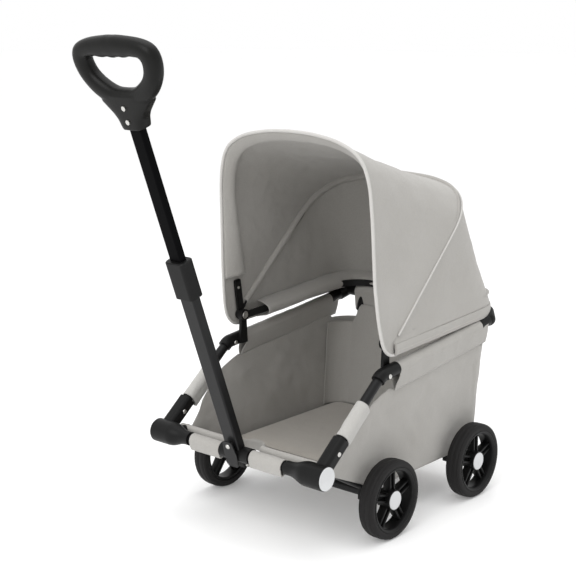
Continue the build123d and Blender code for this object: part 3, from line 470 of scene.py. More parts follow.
# %% A Geometry Nodes tree that repeats a shape round an axis
def around_tree():
    """Repeat a shape Count times round the X axis."""
    tree = bpy.data.node_groups.new("around_the_hub", "GeometryNodeTree")
    face = tree.interface
    face.new_socket("Geometry", in_out="INPUT", socket_type="NodeSocketGeometry")
    face.new_socket("Count", in_out="INPUT", socket_type="NodeSocketInt")
    face.new_socket("Middle", in_out="INPUT", socket_type="NodeSocketVector")
    face.new_socket("Finish", in_out="INPUT", socket_type="NodeSocketMaterial")
    face.new_socket("Geometry", in_out="OUTPUT", socket_type="NodeSocketGeometry")
    add = tree.nodes.new
    start, end = add("NodeGroupInput"), add("NodeGroupOutput")
    points = add("GeometryNodeMeshLine")
    points.inputs["Offset"].default_value = (0, 0, 0)
    index, step, turn = add("GeometryNodeInputIndex"), add("ShaderNodeMath"), add("ShaderNodeMath")
    step.operation, turn.operation = "DIVIDE", "MULTIPLY"
    turn.inputs[1].default_value = 2 * math.pi
    angle = add("ShaderNodeCombineXYZ")
    shape = add("GeometryNodeInstanceOnPoints")
    real, paint = add("GeometryNodeRealizeInstances"), add("GeometryNodeSetMaterial")
    shift = add("GeometryNodeTransform")
    wire = tree.links.new
    wire(start.outputs["Count"], points.inputs["Count"])
    wire(index.outputs[0], step.inputs[0])
    wire(start.outputs["Count"], step.inputs[1])
    wire(step.outputs[0], turn.inputs[0])
    wire(turn.outputs[0], angle.inputs["X"])
    wire(points.outputs[0], shape.inputs["Points"])
    wire(start.outputs["Geometry"], shape.inputs["Instance"])
    wire(angle.outputs[0], shape.inputs["Rotation"])
    wire(shape.outputs[0], shift.inputs["Geometry"])
    wire(start.outputs["Middle"], shift.inputs["Translation"])
    wire(shift.outputs[0], real.inputs[0])
    wire(real.outputs[0], paint.inputs["Geometry"])
    wire(start.outputs["Finish"], paint.inputs["Material"])
    wire(paint.outputs[0], end.inputs[0])
    return tree


def grow(piece, tree, **values):
    """Run a Geometry Nodes tree on a piece and keep the result as plain mesh."""
    modifier = piece.modifiers.new(tree.name, "NODES")
    modifier.node_group = tree
    for socket in tree.interface.items_tree:
        if socket.item_type == "SOCKET" and socket.in_out == "INPUT" and socket.name in values:
            modifier[socket.identifier] = values[socket.name]
    return bake(piece)


def joined(name, pieces):
    """One mesh from several."""
    bm = bmesh.new()
    for piece in pieces:
        bm.from_mesh(piece.data)
    mesh = bpy.data.meshes.new(name)
    bm.to_mesh(mesh)
    bm.free()
    for piece in pieces:
        bpy.data.objects.remove(piece)
    return link(name, mesh)


def block(name, low, high, taper=0.0):
    """A box between two corners, narrower at its top by a share."""
    (x0, y0, z0), (x1, y1, z1) = low, high
    cx, cy = (x0 + x1) / 2, (y0 + y1) / 2
    points = [(x, y, z0) for x, y in ((x0, y0), (x1, y0), (x1, y1), (x0, y1))]
    points += [(cx + (x - cx) * (1 - taper), cy + (y - cy) * (1 - taper), z1)
               for x, y in ((x0, y0), (x1, y0), (x1, y1), (x0, y1))]
    mesh = bpy.data.meshes.new(name)
    mesh.from_pydata([tuple(c * MM for c in p) for p in points], [],
                     [(3, 2, 1, 0), (4, 5, 6, 7), (0, 1, 5, 4), (1, 2, 6, 5), (2, 3, 7, 6), (3, 0, 4, 7)])
    return link(name, mesh)


AROUND = around_tree()
print("tree", AROUND.name, "made")

# %% [markdown]
# The rim and the hub are turned too. Five webs and five pairs of ribs go round the hub,
# and a plain white disc closes it.

# %% Rims and hub discs
HUB = [(-15, 4.3), (-15, 13.5), (-14, 14.5), (-4, 16.2), (9, 16.5), (11.4, 16.5), (12.2, 15.9), (12.2, 15.0),
       (10.4, 14.9), (10.4, 4.3)]
BARREL = [(-11.7, 46.5), (-11.7, 50.4), (-11.2, 50.9), (11.0, 50.9), (12.4, 51.2), (13.1, 51.9), (13.4, 51.0),
          (12.6, 48.6), (11.6, 47.2), (10.6, 46.6), (4, 46.1), (-8, 46.1)]
for end, axle_y in AXLES.items():
    for side, sign in SIDES.items():
        middle = (sign * 177.3, axle_y, WHEEL_R)
        parts = [turned("hub", closed_profile([(sign * a, r) for a, r in HUB]), middle, (1, 0, 0)),
                 turned("barrel", closed_profile([(sign * a, r) for a, r in BARREL]), middle, (1, 0, 0), 96)]
        for low, high, width in (((-5 * sign), (1 * sign), 6.0), ((-7 * sign), (7 * sign), None)):
            for offset in ((0,) if width else (-5.0, 5.0)):
                half = width or 2.0
                spoke = block("spoke", (min(low, high), offset - half, 14), (max(low, high), offset + half, 47.5),
                              0.12)
                rounded(spoke, 0.9)
                parts.append(grow(spoke, AROUND, Count=5, Finish=BLACK,
                                  Middle=tuple(c * MM for c in middle)))
        rim = joined(f"rim_moulding_{end}_{side}", parts)
        sharpen(dress(rim, BLACK, f"wheel_{end}_{side}", (f"rim_{end}_{side}",)))
        disc = turned(f"hub_disc_{end}_{side}",
                      [(sign * a, r) for a, r in ((10.5, 14.6), (12.4, 14.8), (12.9, 14.5), (13.15, 13.9),
                                                  (13.2, 10), (13.2, 0))], middle, (1, 0, 0), 64)
        dress(disc, WHITE, f"wheel_{end}_{side}", (f"hub_cap_{end}_{side}",))
print("rim moulding has", len(rim.data.polygons), "faces")

# %% [markdown]
# ## The pull grip
# The grip is one soft moulding: a D-shaped ring with finger waves under its top bar,
# growing out of a flared neck. The ring is a band of oval sections between an outer and
# an inner line. Remeshing ring and neck together, then smoothing, melts them into one.

# %% Pull grip
OUTER = [(0, 573), (20, 577), (43.5, 587), (61, 600), (75, 619), (81, 638), (79.5, 655), (69.5, 667), (47, 674),
         (13, 677.5), (0, 677.7)]
INNER = [(0, 604), (18, 605.5), (34.5, 613.5), (48, 625), (53.5, 638), (52, 646.5), (44, 650.5), (28, 649.5),
         (13, 649), (0, 648.8)]
NECK = [(547.5, 19.8), (552, 21.6), (562, 24.5), (570, 30), (578, 38), (588, 48), (597, 42)]


def handle_point(x, along, front):
    """A point beside the handle: across, up from the yoke's axis, and out of its front."""
    return np.array([x, CROSS_Y - along * math.sin(LEAN) - front * math.cos(LEAN),
                     CROSS_Z + along * math.cos(LEAN) - front * math.sin(LEAN)])


def round_line(half, count):
    """A closed line from its right half."""
    right = spaced(smooth_path(half, 300), count)
    return np.concatenate([right, (right * (-1, 1))[::-1][1:-1]])


rows = []
for (xo, ao), (xi, ai) in zip(round_line(OUTER, 71), round_line(INNER, 71)):
    if ai > 640:
        ai -= 1.3 * (0.5 + 0.5 * math.cos(2 * math.pi * xi / 21)) * min(1, (56 - abs(xi)) / 12)
    row = []
    for k in range(28):
        a = 2 * math.pi * k / 28
        across, out = math.cos(a), math.sin(a)
        across = math.copysign(abs(across) ** 0.85, across)
        row.append(handle_point((xo + xi) / 2 + (xo - xi) / 2 * across, (ao + ai) / 2 + (ao - ai) / 2 * across,
                                12.2 * math.copysign(abs(out) ** 0.85, out)))
    rows.append(row)
loop = grid("loop", [*rows, rows[0]], wrap=True)
rows = []
for along in np.linspace(547.5, 597, 34):
    half = np.interp(along, [n[0] for n in NECK], [n[1] for n in NECK])
    rows.append([handle_point(half * math.copysign(abs(math.cos(a)) ** 0.6, math.cos(a)), along,
                              12.6 * math.copysign(abs(math.sin(a)) ** 0.45, math.sin(a)))
                 for a in np.linspace(0, 2 * math.pi, 48, endpoint=False)])
neck = grid("neck", rows, wrap=True)
bm = bmesh.new()
bm.from_mesh(neck.data)
bmesh.ops.holes_fill(bm, edges=open_edges(bm))
bm.to_mesh(neck.data)
bm.free()
grip = joined("grip_moulding", [outward(loop), outward(neck)])
melt = grip.modifiers.new("melt", "REMESH")
melt.mode, melt.voxel_size, melt.use_smooth_shade = "VOXEL", 1.1 * MM, True
calm = grip.modifiers.new("calm", "SMOOTH")
calm.factor, calm.iterations = 0.5, 10
dress(bake(grip), GRIP, "handle_top", ("pull_grip",))
print("grip has", len(grip.data.polygons), "faces")

# %% [markdown]
# ## Stitches
# Every hem and sleeve is held by lines of small stitches. A Geometry Nodes tree walks
# along a curve, puts one short thread at each step, turned along the line, and makes
# the result real. Steps, length and thickness are inputs.

# %% A Geometry Nodes tree that sews along a line
def stitch_tree():
    tree = bpy.data.node_groups.new("sewn_line", "GeometryNodeTree")
    face = tree.interface
    face.new_socket("Geometry", in_out="INPUT", socket_type="NodeSocketGeometry")
    for label in ("Step", "Length", "Thickness"):
        face.new_socket(label, in_out="INPUT", socket_type="NodeSocketFloat")
    face.new_socket("Finish", in_out="INPUT", socket_type="NodeSocketMaterial")
    face.new_socket("Geometry", in_out="OUTPUT", socket_type="NodeSocketGeometry")
    add = tree.nodes.new
    start, end = add("NodeGroupInput"), add("NodeGroupOutput")
    line, points = add("GeometryNodeMeshToCurve"), add("GeometryNodeCurveToPoints")
    points.mode = "LENGTH"
    thread = add("GeometryNodeMeshUVSphere")
    thread.inputs["Segments"].default_value = 6
    thread.inputs["Rings"].default_value = 4
    thread.inputs["Radius"].default_value = 0.5
    sizes, size = add("ShaderNodeCombineXYZ"), add("GeometryNodeTransform")
    laid = add("GeometryNodeInstanceOnPoints")
    real, paint = add("GeometryNodeRealizeInstances"), add("GeometryNodeSetMaterial")
    wire = tree.links.new
    wire(start.outputs["Geometry"], line.inputs[0])
    wire(line.outputs[0], points.inputs["Curve"])
    wire(start.outputs["Step"], points.inputs["Length"])
    for axis, label in (("X", "Thickness"), ("Y", "Thickness"), ("Z", "Length")):
        wire(start.outputs[label], sizes.inputs[axis])
    wire(thread.outputs[0], size.inputs["Geometry"])
    wire(sizes.outputs[0], size.inputs["Scale"])
    wire(points.outputs["Points"], laid.inputs["Points"])
    wire(points.outputs["Rotation"], laid.inputs["Rotation"])
    wire(size.outputs[0], laid.inputs["Instance"])
    wire(laid.outputs[0], real.inputs[0])
    wire(real.outputs[0], paint.inputs["Geometry"])
    wire(start.outputs["Finish"], paint.inputs["Material"])
    wire(paint.outputs[0], end.inputs[0])
    return tree


SEWN = stitch_tree()
THREAD = woven("thread", linear(214, 211, 205), linear(196, 192, 185), thread=0.3)


def sew(name, lines, step=3.4, length=2.4, thick=0.55):
    """Stitches along each line of points; the lines are one piece."""
    points, edges = [], []
    for line in lines:
        first = len(points)
        points += [tuple(c * MM for c in p) for p in line]
        edges += [(first + i, first + i + 1) for i in range(len(line) - 1)]
    mesh = bpy.data.meshes.new(name)
    mesh.from_pydata(points, edges, [])
    piece = link(name, mesh)
    piece.data.materials.append(THREAD)
    return grow(piece, SEWN, Step=step * MM, Length=length * MM, Thickness=thick * MM, Finish=THREAD)


# %% [markdown]
# ## The tub
# One length of cloth goes round the tub: up one side, round the back and down the
# other. Its plan is a rounded U that is a little wider at the top than at the floor, and
# its top edge hangs from loops sewn over the tubes. A grid suits it: columns follow the
# plan, rows climb from the foot to the seam.

# %% The tub's plan and its edges
FOOT_Z = 72.0
SIDE_END = 284.0


def wall_x(z):
    """Half width of the tub's outside at a height."""
    return 146.0 + (z - FOOT_Z) * 0.0835


def rear_y(z):
    """Outside of the rear wall at a height."""
    return 300.5 + (z - FOOT_Z) * 0.088


def seam_z(y):
    """Height of the seam under a top sleeve."""
    return run_z(y) - 31.0


TOP_EDGE = [(-113, 132), (-105, 137), (-84, 158), (-74, 176), (-58, 191), (-22, 219.5), (0, 228.5), (20, 235),
            (27, seam_z(27)), (90, seam_z(90)), (SIDE_END, seam_z(SIDE_END))]
LOW_EDGE = [(-113, 127), (-98.7, 118.5), (-64.2, 103), (-32.6, 89), (-12, 78), (4, 72.6), (20, FOOT_Z),
            (SIDE_END, FOOT_Z)]


def on_edge(edge, y):
    return float(np.interp(y, [p[0] for p in edge], [p[1] for p in edge]))


def plan_point(column, z, inset=0.0):
    """A point of the tub's right half in plan; column runs 0 to 1 from the rear middle to the front."""
    corner = 29.0 + max(0.0, z - 110) * 0.115
    half, back = wall_x(z) - inset, rear_y(z) - inset
    if column < 0.3:
        return (half - corner) * column / 0.3, back
    if column < 0.45:
        turn = (column - 0.3) / 0.15 * math.pi / 2
        return half - corner + corner * math.sin(turn), back - corner + corner * math.cos(turn)
    side = (column - 0.45) / 0.55
    return half, back - corner + (-113 - back + corner) * side


def wall_point(column, row, inset=0.0):
    """A point of the tub's outer cloth."""
    x, y = plan_point(column, 170.0)
    low = on_edge(LOW_EDGE, y)
    if column < 0.27:
        high = 281.0
    elif column < 0.45:
        high = 281.0 - 27.0 * min(1.0, (column - 0.27) / 0.025)
    else:
        high = on_edge(TOP_EDGE, y)
    z = low + (high - low) * row
    x, y = plan_point(column, z, inset)
    slack = math.sin(math.pi * row)
    fold = 2.4 * soft(y, z, x, 60, 1) + 1.2 * soft(y, z, x, 24, 2) + 1.5 * soft(y + z, z * 0.4, x, 30, 5)
    bow = 2.2 * slack + fold * min(1.0, 4 * slack)
    if column > 0.45:
        x -= bow
    else:
        y -= bow * 0.8
    return x, y, z


COLUMNS = np.concatenate([np.linspace(0, 0.265, 22), np.linspace(0.272, 0.298, 8), np.linspace(0.3, 0.45, 22),
                          np.linspace(0.46, 1.0, 90)])
rows = []
for row in np.linspace(0, 1, 46):
    half = [wall_point(c, row) for c in COLUMNS]
    rows.append([(-x, y, z) for x, y, z in reversed(half)] + half[1:])
walls = thicken(grid("tub_walls", rows), 1.5)
dress(walls, CLOTH, "frame", ("tub_side_left", "tub_side_right", "tub_rear"))
print("tub walls", len(walls.data.polygons), "faces")

# %% [markdown]
# Inside, a lining stands in front of the rear posts, so no bare tube shows in the tub.
# It is a second, softer sheet between the side walls.

# %% Rear lining
def lining_point(column, z):
    half = wall_x(z) - 4.0
    back = 262.0 + (z - FOOT_Z) * 0.155
    corner = 34.0
    if column < 0.5:
        return (half - corner) * column / 0.5, back
    turn = (column - 0.5) / 0.5 * math.pi / 2
    return half - corner + corner * math.sin(turn), back - corner + corner * math.cos(turn)


rows = []
for row in np.linspace(0, 1, 34):
    half = []
    for c in np.linspace(0, 1, 50):
        top = 282.0 - 34.0 * min(1.0, max(0.0, (c - 0.44) / 0.06))
        z = 98.0 + (top - 98.0) * row
        x, y = lining_point(c, z)
        y += 2.5 * soft(x, z * 0.5, y, 45, 3) + 1.0 * soft(x * 1.4, z * 0.4, y, 18, 4) + 3.0 * row ** 3
        half.append((x, y, z))
    rows.append([(-x, y, z) for x, y, z in reversed(half)] + half[1:])
lining = thicken(grid("tub_lining", rows), 1.2)
dress(lining, CLOTH, "frame")
print("lining", len(lining.data.polygons), "faces")

# %% [markdown]
# ## Sleeves
# A sleeve is a flat loop of cloth: up one side of the tube, over it, and down again to a
# double seam a thumb's width below. Its section is a drop: round on top, two flat sides
# below. The same section, carried along each tube, makes all of them.

# %% Sleeves over the side tubes
def drop(radius, depth, lean=0.0, fill=0.0, count=26):
    """Section of a loop round a tube whose seam lies depth below it."""
    points = []
    for k in range(count + 1):
        a = math.radians(-25 + 230 * k / count)
        points.append((radius * math.cos(a), radius * math.sin(a)))
    low = (lean, -depth)
    left = [tuple(np.array(points[-1]) * (1 - s) + np.array((low[0] - 0.9, low[1])) * s) for s in
            np.linspace(0, 1, 9)[1:]]
    right = [tuple(np.array((low[0] + 0.9, low[1])) * (1 - s) + np.array(points[0]) * s) for s in
             np.linspace(0, 1, 9)[:-1]]
    bulge = [fill * math.sin(math.pi * s) for s in np.linspace(0, 1, 9)[1:]]
    left = [(a - b, c) for (a, c), b in zip(left, bulge)]
    right = [(a + b, c) for (a, c), b in zip(right, bulge[::-1])]
    return right + points + left


def sleeve(name, path, section, finish=CLOTH, wobble=0.7, seed=1.0, shaped_end=None):
    """A loop of cloth carried along a path of points, in millimetres."""
    path = np.asarray(path, float)
    tangent = frames(path)
    rows = []
    for i, (p, t) in enumerate(zip(path, tangent)):
        share = i / (len(path) - 1)
        right = np.cross(t, (0, 0, 1))
        right /= np.linalg.norm(right)
        top = np.cross(right, t)
        ring_points = []
        for a, b in section(share):
            q = p + right * a + top * b
            push = wobble * soft(q[0], q[1], q[2], 22, seed) + 0.35 * soft(q[0], q[1], q[2], 9, seed + 2)
            far = max(math.hypot(a, b), 1e-6)
            q = q + (right * a + top * b) / far * push
            if shaped_end:
                q = q + t * shaped_end(share, a, b)
            ring_points.append(q)
        rows.append(ring_points)
    return thicken(grid(name, rows), 1.1)


for side, sign in SIDES.items():
    ys = np.linspace(24.0, SIDE_END, 90)
    path = [(sign * SIDE_X, y, run_z(y)) for y in ys]

    def top_section(share, sign=sign):
        return drop(9.7, 34.0, 1.6 * sign, 0.9)

    def scoop(share, a, b):
        """The front edge is cut back at the tube's middle."""
        near = max(0.0, 1 - share / 0.06)
        return near * 9.0 * math.exp(-((b + 8) / 12.0) ** 2)

    top = sleeve(f"top_sleeve_{side}", path, top_section, seed=sign + 3.0, shaped_end=scoop)
    dress(top, CLOTH, "frame")

    ys = np.linspace(-100.0, -50.0, 40)
    path = [(sign * SIDE_X, y, slope_z(y)) for y in ys]

    def slope_section(share, sign=sign):
        return drop(10.2, 23.0, -1.5 * sign, 1.8)

    slope = sleeve(f"slope_sleeve_{side}", path, slope_section, wobble=0.9, seed=sign + 9.0)
    # The slope sleeve takes the lighter copy of the cloth: painted light on its upward face.
    dress(slope, LIT_SLEEVE_CLOTH, "frame")
print("sleeves made")

# %% [markdown]
# The cross tubes carry sleeves of the same kind, with their own drops.

# %% Rear sleeve and front sleeves
path = [(x, REAR_Y, REAR_Z) for x in np.linspace(-126, 126, 80)]
rear_sleeve = sleeve("rear_sleeve", path, lambda share: drop(12.2, 34.0, 7.0, 0.6), seed=21.0)
dress(rear_sleeve, CLOTH, "frame")
for side, sign in SIDES.items():
    path = [(sign * x, CROSS_Y, CROSS_Z) for x in np.linspace(31.5, 96, 36)]
    if sign < 0:
        path = path[::-1]
    front = sleeve(f"front_sleeve_{side}", path, lambda share: drop(10.0, 15.0, 4.0, 0.8), wobble=0.8,
                   seed=sign + 31.0)
    dress(front, CLOTH, "frame")
print("cross tube sleeves made")

# %% [markdown]
# ## Floor
# The floor cloth lies on the board, climbs a ramp to the front and ends in a hem behind
# the front tube. The pad on it is quilted foam in the same cloth: full, with edges that
# roll under.

# %% Floor cloth with its ramp and hem
FLOOR = [(262, 90), (60, 90), (0, 90.3), (-14, 91.5), (-34, 98), (-64, 112.5), (-96, 128.5), (-112, 137.5),
         (-122, 144.5), (-128, 148.5), (-133, 149), (-136.5, 146), (-137, 141), (-134, 137.5)]
line = smooth_path(FLOOR, 120)
rows = []
for y, z in line:
    half = (142.5 if y > -10 else 142.5 + (-10 - y) * 0.03)
    rows.append([(x, y + 0.8 * soft(x, y, z, 30, 6), z + 1.2 * soft(x, y, z, 55, 7) * (1 if y < 0 else 0.2)
                  - 2.5 * math.cos(x / half * math.pi / 2) * max(0.0, math.sin((y + 120) / 110 * math.pi)
                                                                 if -120 < y < -10 else 0.0))
                 for x in np.linspace(-half, half, 90)])
notch = [[math.exp(-(x / 24) ** 6) * max(0.0, -108 - y) * 0.97 for x, y, z in row] for row in rows]
rows = [[(x, y + n, z - n * 0.25) for (x, y, z), n in zip(row, cuts)] for row, cuts in zip(rows, notch)]
floor_cloth = thicken(grid("floor_cloth", rows), 1.4)
dress(floor_cloth, CLOTH, "frame", ("tub_floor", "tub_apron"))
print("floor cloth", len(floor_cloth.data.polygons), "faces")

# %% Floor pad
def pad_point(u, v, top):
    """A point of the pad; u and v run -1 to 1 across and along it."""
    edge = max(abs(u), abs(v)) ** 14
    x = u * 140.0 * (1 - 0.006 * (1 - v * v) * abs(u) ** 3)
    y = 128.0 + v * 138.0
    crown = (1 - abs(u) ** 10) * (1 - abs(v) ** 10)
    thick = 3.2 + 7.6 * crown ** 0.5
    z = 93.8 + (thick if top else (1 - crown) * 2.0)
    if top:
        z += 0.9 * soft(x, y, 0, 70, 8) * crown + 0.4 * soft(x, y, 0, 26, 9) * crown
    return x, y, z - edge * (2.2 if top else -1.0)


def pad_sheet(top):
    steps = np.sin(np.linspace(-math.pi / 2, math.pi / 2, 61))
    return [[pad_point(u, v, top) for u in steps] for v in steps]


upper, lower = grid("upper", pad_sheet(True)), grid("lower", pad_sheet(False))
pad = joined("floor_cushion", [upper, lower])
bm = bmesh.new()
bm.from_mesh(pad.data)
bmesh.ops.bridge_loops(bm, edges=open_edges(bm))
bm.to_mesh(pad.data)
bm.free()
outward(pad)
dress(pad, PAD, "frame", ("floor_pad",))
print("pad", [round(v, 3) for v in pad.dimensions])

# %% [markdown]
# ## Canopy
# The canopy is two panels of cloth over three bows, like the hood of a pram. Between
# two bows the cloth is pulled tight, so each panel is nearly the surface of straight
# lines from one bow to the next, with a slight sag. The middle and back outlines are half
# widths at distances from the pivot. The front edge leaves its bow's plane low down, so
# it is given as points instead.

# %% Bow outlines
def outline(pairs, count=121):
    """A bow's outline from (half width, distance) pairs, bottom left over the top to bottom right."""
    right = smooth_path(pairs, 400)
    mirror = np.ones(right.shape[1])
    mirror[0] = -1
    whole = np.concatenate([right, (right * mirror)[::-1][1:]])
    return spaced(whole, count)[::-1]


FRONT_EDGE = [(164, 30, 287.4), (164, 20, 288), (164, 12, 290.3), (163.9, 4.5, 295.8), (163.8, -1.5, 303),
              (163.7, -6.5, 314), (162.5, -11, 333), (161.3, -13.5, 349), (159.5, -17, 380), (158, -19.5, 410),
              (156, -22.5, 480), (154.4, -25, 520), (151.6, -26.5, 550), (146.7, -27.8, 570), (140, -29, 586),
              (127.3, -30.5, 600), (106, -32.3, 611.5), (80, -33.5, 619.3), (40, -34.5, 625.3), (0, -34.8, 627)]
MID_LINE = [(164.5, 2), (163.5, 60), (162, 150), (160.5, 225), (157.5, 255), (150.5, 277), (137, 298),
            (118, 313.5), (93, 323.5), (58, 331), (0, 335)]
BACK_LINE = [(167, 2), (167, 120), (166.5, 220), (165, 262), (160, 284), (148, 300), (128, 309), (96, 313),
             (48, 315), (0, 315.5)]
ANGLES = {"front": 99.8, "mid": 43.0, "back": 3.2}


def hem_low(y):
    """Height of the hem's lower edge."""
    return 287.3 + max(0.0, y - 20) * 0.055


def bow_place(angle, width, far):
    """A point at a half width and a distance out from the pivots, on the plane at an angle."""
    a = math.radians(angle)
    return PIVOT + np.array([width, far * math.cos(a), far * math.sin(a)])


def bow_curve(name, pairs, count=121, inset=0.0):
    points = outline(pairs, count)
    if inset:
        tangent = frames(np.column_stack([points, np.zeros(len(points))]))
        points = points + np.column_stack([-tangent[:, 1], tangent[:, 0]]) * -inset
    return [bow_place(ANGLES[name], w, d) for w, d in points]


front_curve = outline(FRONT_EDGE, 181)
mid_curve = np.array(bow_curve("mid", MID_LINE, 181))
back_curve = np.array(bow_curve("back", BACK_LINE, 181))
print("front edge is", round(float(np.linalg.norm(np.diff(front_curve, axis=0), axis=1).sum())), "mm long")


SAG = {"front": (7.0, 2.5, 41), "rear": (3.0, 2.0, 51)}


def hung(which, p, place, t, inset=0.0):
    """A point of a panel moved in by its sag; place runs along the bow and t from bow to bow."""
    top, low, seed = SAG[which]
    high = math.sin(math.pi * min(max(place, 0), 1)) ** 1.5
    hold = math.sin(math.pi * min(max(t, 0), 1)) ** 0.8
    depth = (low + (top - low) * high) * hold
    depth += hold * (2.2 * soft(*(p * (1, 1, 0.5)), 50, seed) + 1.0 * soft(*p, 20, seed + 1))
    way = PIVOT + np.array([0, 40, 120]) - p
    return p + way / np.linalg.norm(way) * (depth + inset)


def panel(which, first, second, steps):
    """Cloth pulled between two bow curves, with a sag and soft folds."""
    last = len(first) - 1
    return np.array([[hung(which, first[i] * (1 - t) + second[i] * t, i / last, t) for i in range(last + 1)]
                     for t in np.linspace(0, 1, steps)])


def angular_blend(piece, low, high):
    """Bake a piece's placement into its mesh; the share of its angle between two bows is worked out but not kept.
    """
    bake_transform(piece)
    co = np.zeros(len(piece.data.vertices) * 3)
    piece.data.vertices.foreach_get("co", co)
    co = co.reshape(-1, 3) / MM
    angle = np.degrees(np.arctan2(co[:, 2] - PIVOT[2], co[:, 1] - PIVOT[1]))
    near = np.hypot(co[:, 2] - PIVOT[2], co[:, 1] - PIVOT[1])
    angle = np.where(angle < -20, ANGLES["front"], angle)
    share = np.clip((angle - low) / (high - low), 0, 1)
    share = np.where(near < 6, 0.5, share)
    return piece


# %% Front panel
rows = panel("front", mid_curve, front_curve, 44)
front_panel = thicken(grid("canopy_front_panel", rows), 1.2)
dress(front_panel, CLOTH, None, ("canopy_front",))
angular_blend(front_panel, ANGLES["mid"], ANGLES["front"])
print("front panel", len(front_panel.data.polygons), "faces")

# %% [markdown]
# The rear panel is made the same way, from the back of the frame to the middle bow.

# %% Rear panel
rows = panel("rear", back_curve, mid_curve, 44)
rear_panel = thicken(grid("canopy_rear_panel", rows), 1.2)
dress(rear_panel, CLOTH, None, ("canopy_rear",))
angular_blend(rear_panel, ANGLES["back"], ANGLES["mid"])
print("rear panel", len(rear_panel.data.polygons), "faces")

# %% [markdown]
# Inside the canopy the bows run in sleeves. Each is a band of the same cloth, sewn to
# the panel along both edges and pushed in by the bow, so its section is a low arch.

# %% Sleeves over the bows
def arch(name, which, curve, toward, width, depth, keep, ahead=0.0, seed=71):
    """A band inside a panel, from ahead of a bow's curve to width behind it."""
    rows = []
    for s in np.linspace(0, 1, 15):
        row = []
        for i, p in enumerate(curve):
            if not keep(p):
                continue
            gap = np.linalg.norm(toward[i] - p)
            wide = width(p) if callable(width) else width
            far = -ahead + (wide + ahead) * s
            high = 1.2 + depth * math.sin(math.pi * s) ** 0.7 + 0.6 * soft(*p, 20, seed) * math.sin(math.pi * s)
            q = p + (toward[i] - p) / gap * far
            row.append(hung(which, q, i / (len(curve) - 1), far / gap, high))
        rows.append(row)
    return thicken(grid(name, rows), 0.9)


def front_width(p):
    """The front sleeve is wider low down, where the cloth runs ahead of its bow."""
    return 27.0 + max(0.0, min(1.0, (520 - p[2]) / 160)) * 22.0


front_band = arch("front_bow_sleeve", "front", front_curve, mid_curve, front_width, 11.0, lambda p: p[2] > 368)
dress(front_band, CLOTH, "canopy_front_end", ("front_bow",))
mid_band = arch("mid_bow_sleeve", "rear", mid_curve, back_curve, 8.0, 7.5, lambda p: p[2] > 318, ahead=8.0)
dress(mid_band, CLOTH, "canopy_mid")

half = outline(BACK_LINE, 241)
tangent = frames(half)
inner = np.column_stack([-tangent[:, 1], tangent[:, 0]])
if inner[120, 1] > 0:
    inner = -inner
rows = []
for s, depth in zip(np.linspace(0, 1, 13), (1.5, 12, 21, 27, 29.5, 30.5, 31, 31, 30.5, 29, 24, 13, 2)):
    row = []
    for (w, d), (a, b) in zip(half, inner):
        if d < 50:
            continue
        p = bow_place(ANGLES["back"], w + a * depth, d + b * depth)
        low = float(np.interp(p[1], (60, 130, 218, 300), (290, 296, 305, 309)))
        high = 320.0 + (p[1] - 70) * 0.085
        bulge = 1.2 * soft(p[0], p[1], p[2], 34, 77)
        row.append((p[0], p[1] + bulge * 0.5, high + (low - high) * s + bulge))
    rows.append(row)
back_band = thicken(grid("rear_bow_sleeve", rows), 1.0)
dress(back_band, CLOTH, "frame")
print("bow sleeves made")

# %% [markdown]
# The canopy's lower edge is a hem that hangs just outside the side tubes and hides the
# rear bow. It goes round the back in one piece.

# %% Lower hem
half = outline(BACK_LINE, 181)
rows = []
for drop_share in np.linspace(0, 1, 14):
    row = []
    for w, d in half:
        p = bow_place(ANGLES["back"], w, d)
        low = hem_low(p[1])
        z = p[2] + (low - p[2]) * drop_share
        out = 1.0 * math.sin(math.pi * drop_share) + 0.8 * soft(p[0], p[1], z, 40, 61)
        row.append((p[0] * (1 + out / 170), p[1] + out * 0.6 * (d > 250), z))
    rows.append(row)
hem = thicken(grid("canopy_hem", rows), 2.2)
dress(hem, CLOTH, "frame")
print("hem", len(hem.data.polygons), "faces")

# %% [markdown]
# A cord of cloth, the piping, covers the seam over the middle bow, and a folded binding
# finishes the front edge. Both are thin rolls carried along their bow. Their cloth is a
# lighter copy of the grey: a painted highlight along the rolled edges.

# %% Piping and front binding
def roll(name, curve, radius, finish, count=10):
    curve = np.asarray(curve, float)
    tangent = frames(curve)
    rows = []
    for p, t in zip(curve, tangent):
        side = np.cross(t, (0, 0.7, 0.7))
        side /= np.linalg.norm(side)
        up = np.cross(side, t)
        rows.append([p + side * radius * math.cos(a) + up * radius * math.sin(a)
                     for a in np.linspace(0, 2 * math.pi, count, endpoint=False)])
    return outward(grid(name, rows, wrap=True))


outer_mid = np.array([p + (p - PIVOT) / np.linalg.norm(p - PIVOT) * 1.3 for p in mid_curve])
# Piping and binding take the lighter copy of the cloth: a painted highlight along the rolled edges.
piping = roll("mid_piping", outer_mid[3:-3], 1.7, LIT_EDGE_CLOTH)
dress(piping, LIT_EDGE_CLOTH, "canopy_mid")
binding = roll("front_binding", front_curve, 2.6, LIT_EDGE_CLOTH, 12)
dress(binding, LIT_EDGE_CLOTH, "canopy_front_end")
print("canopy trimmed")

# %% [markdown]
# The stitches go on last, because they lie on finished cloth: two lines under each top
# sleeve, one along the canopy's front edge and one round its hem.

# %% Stitch lines
def wall_seam(sign, gap, away):
    """A line of stitches on a top sleeve, gap below its seam."""
    return [(sign * (SIDE_X + away), y, run_z(y) - 24.5 - gap) for y in np.linspace(38, SIDE_END - 6, 90)]


def beside(curve, toward, far, out, which):
    """A line on the outside of a panel, far from a bow."""
    last = len(curve) - 1
    line = []
    for i in range(6, last - 5):
        gap = np.linalg.norm(toward[i] - curve[i])
        q = curve[i] + (toward[i] - curve[i]) / gap * far
        line.append(hung(which, q, i / last, far / gap, -out))
    return line


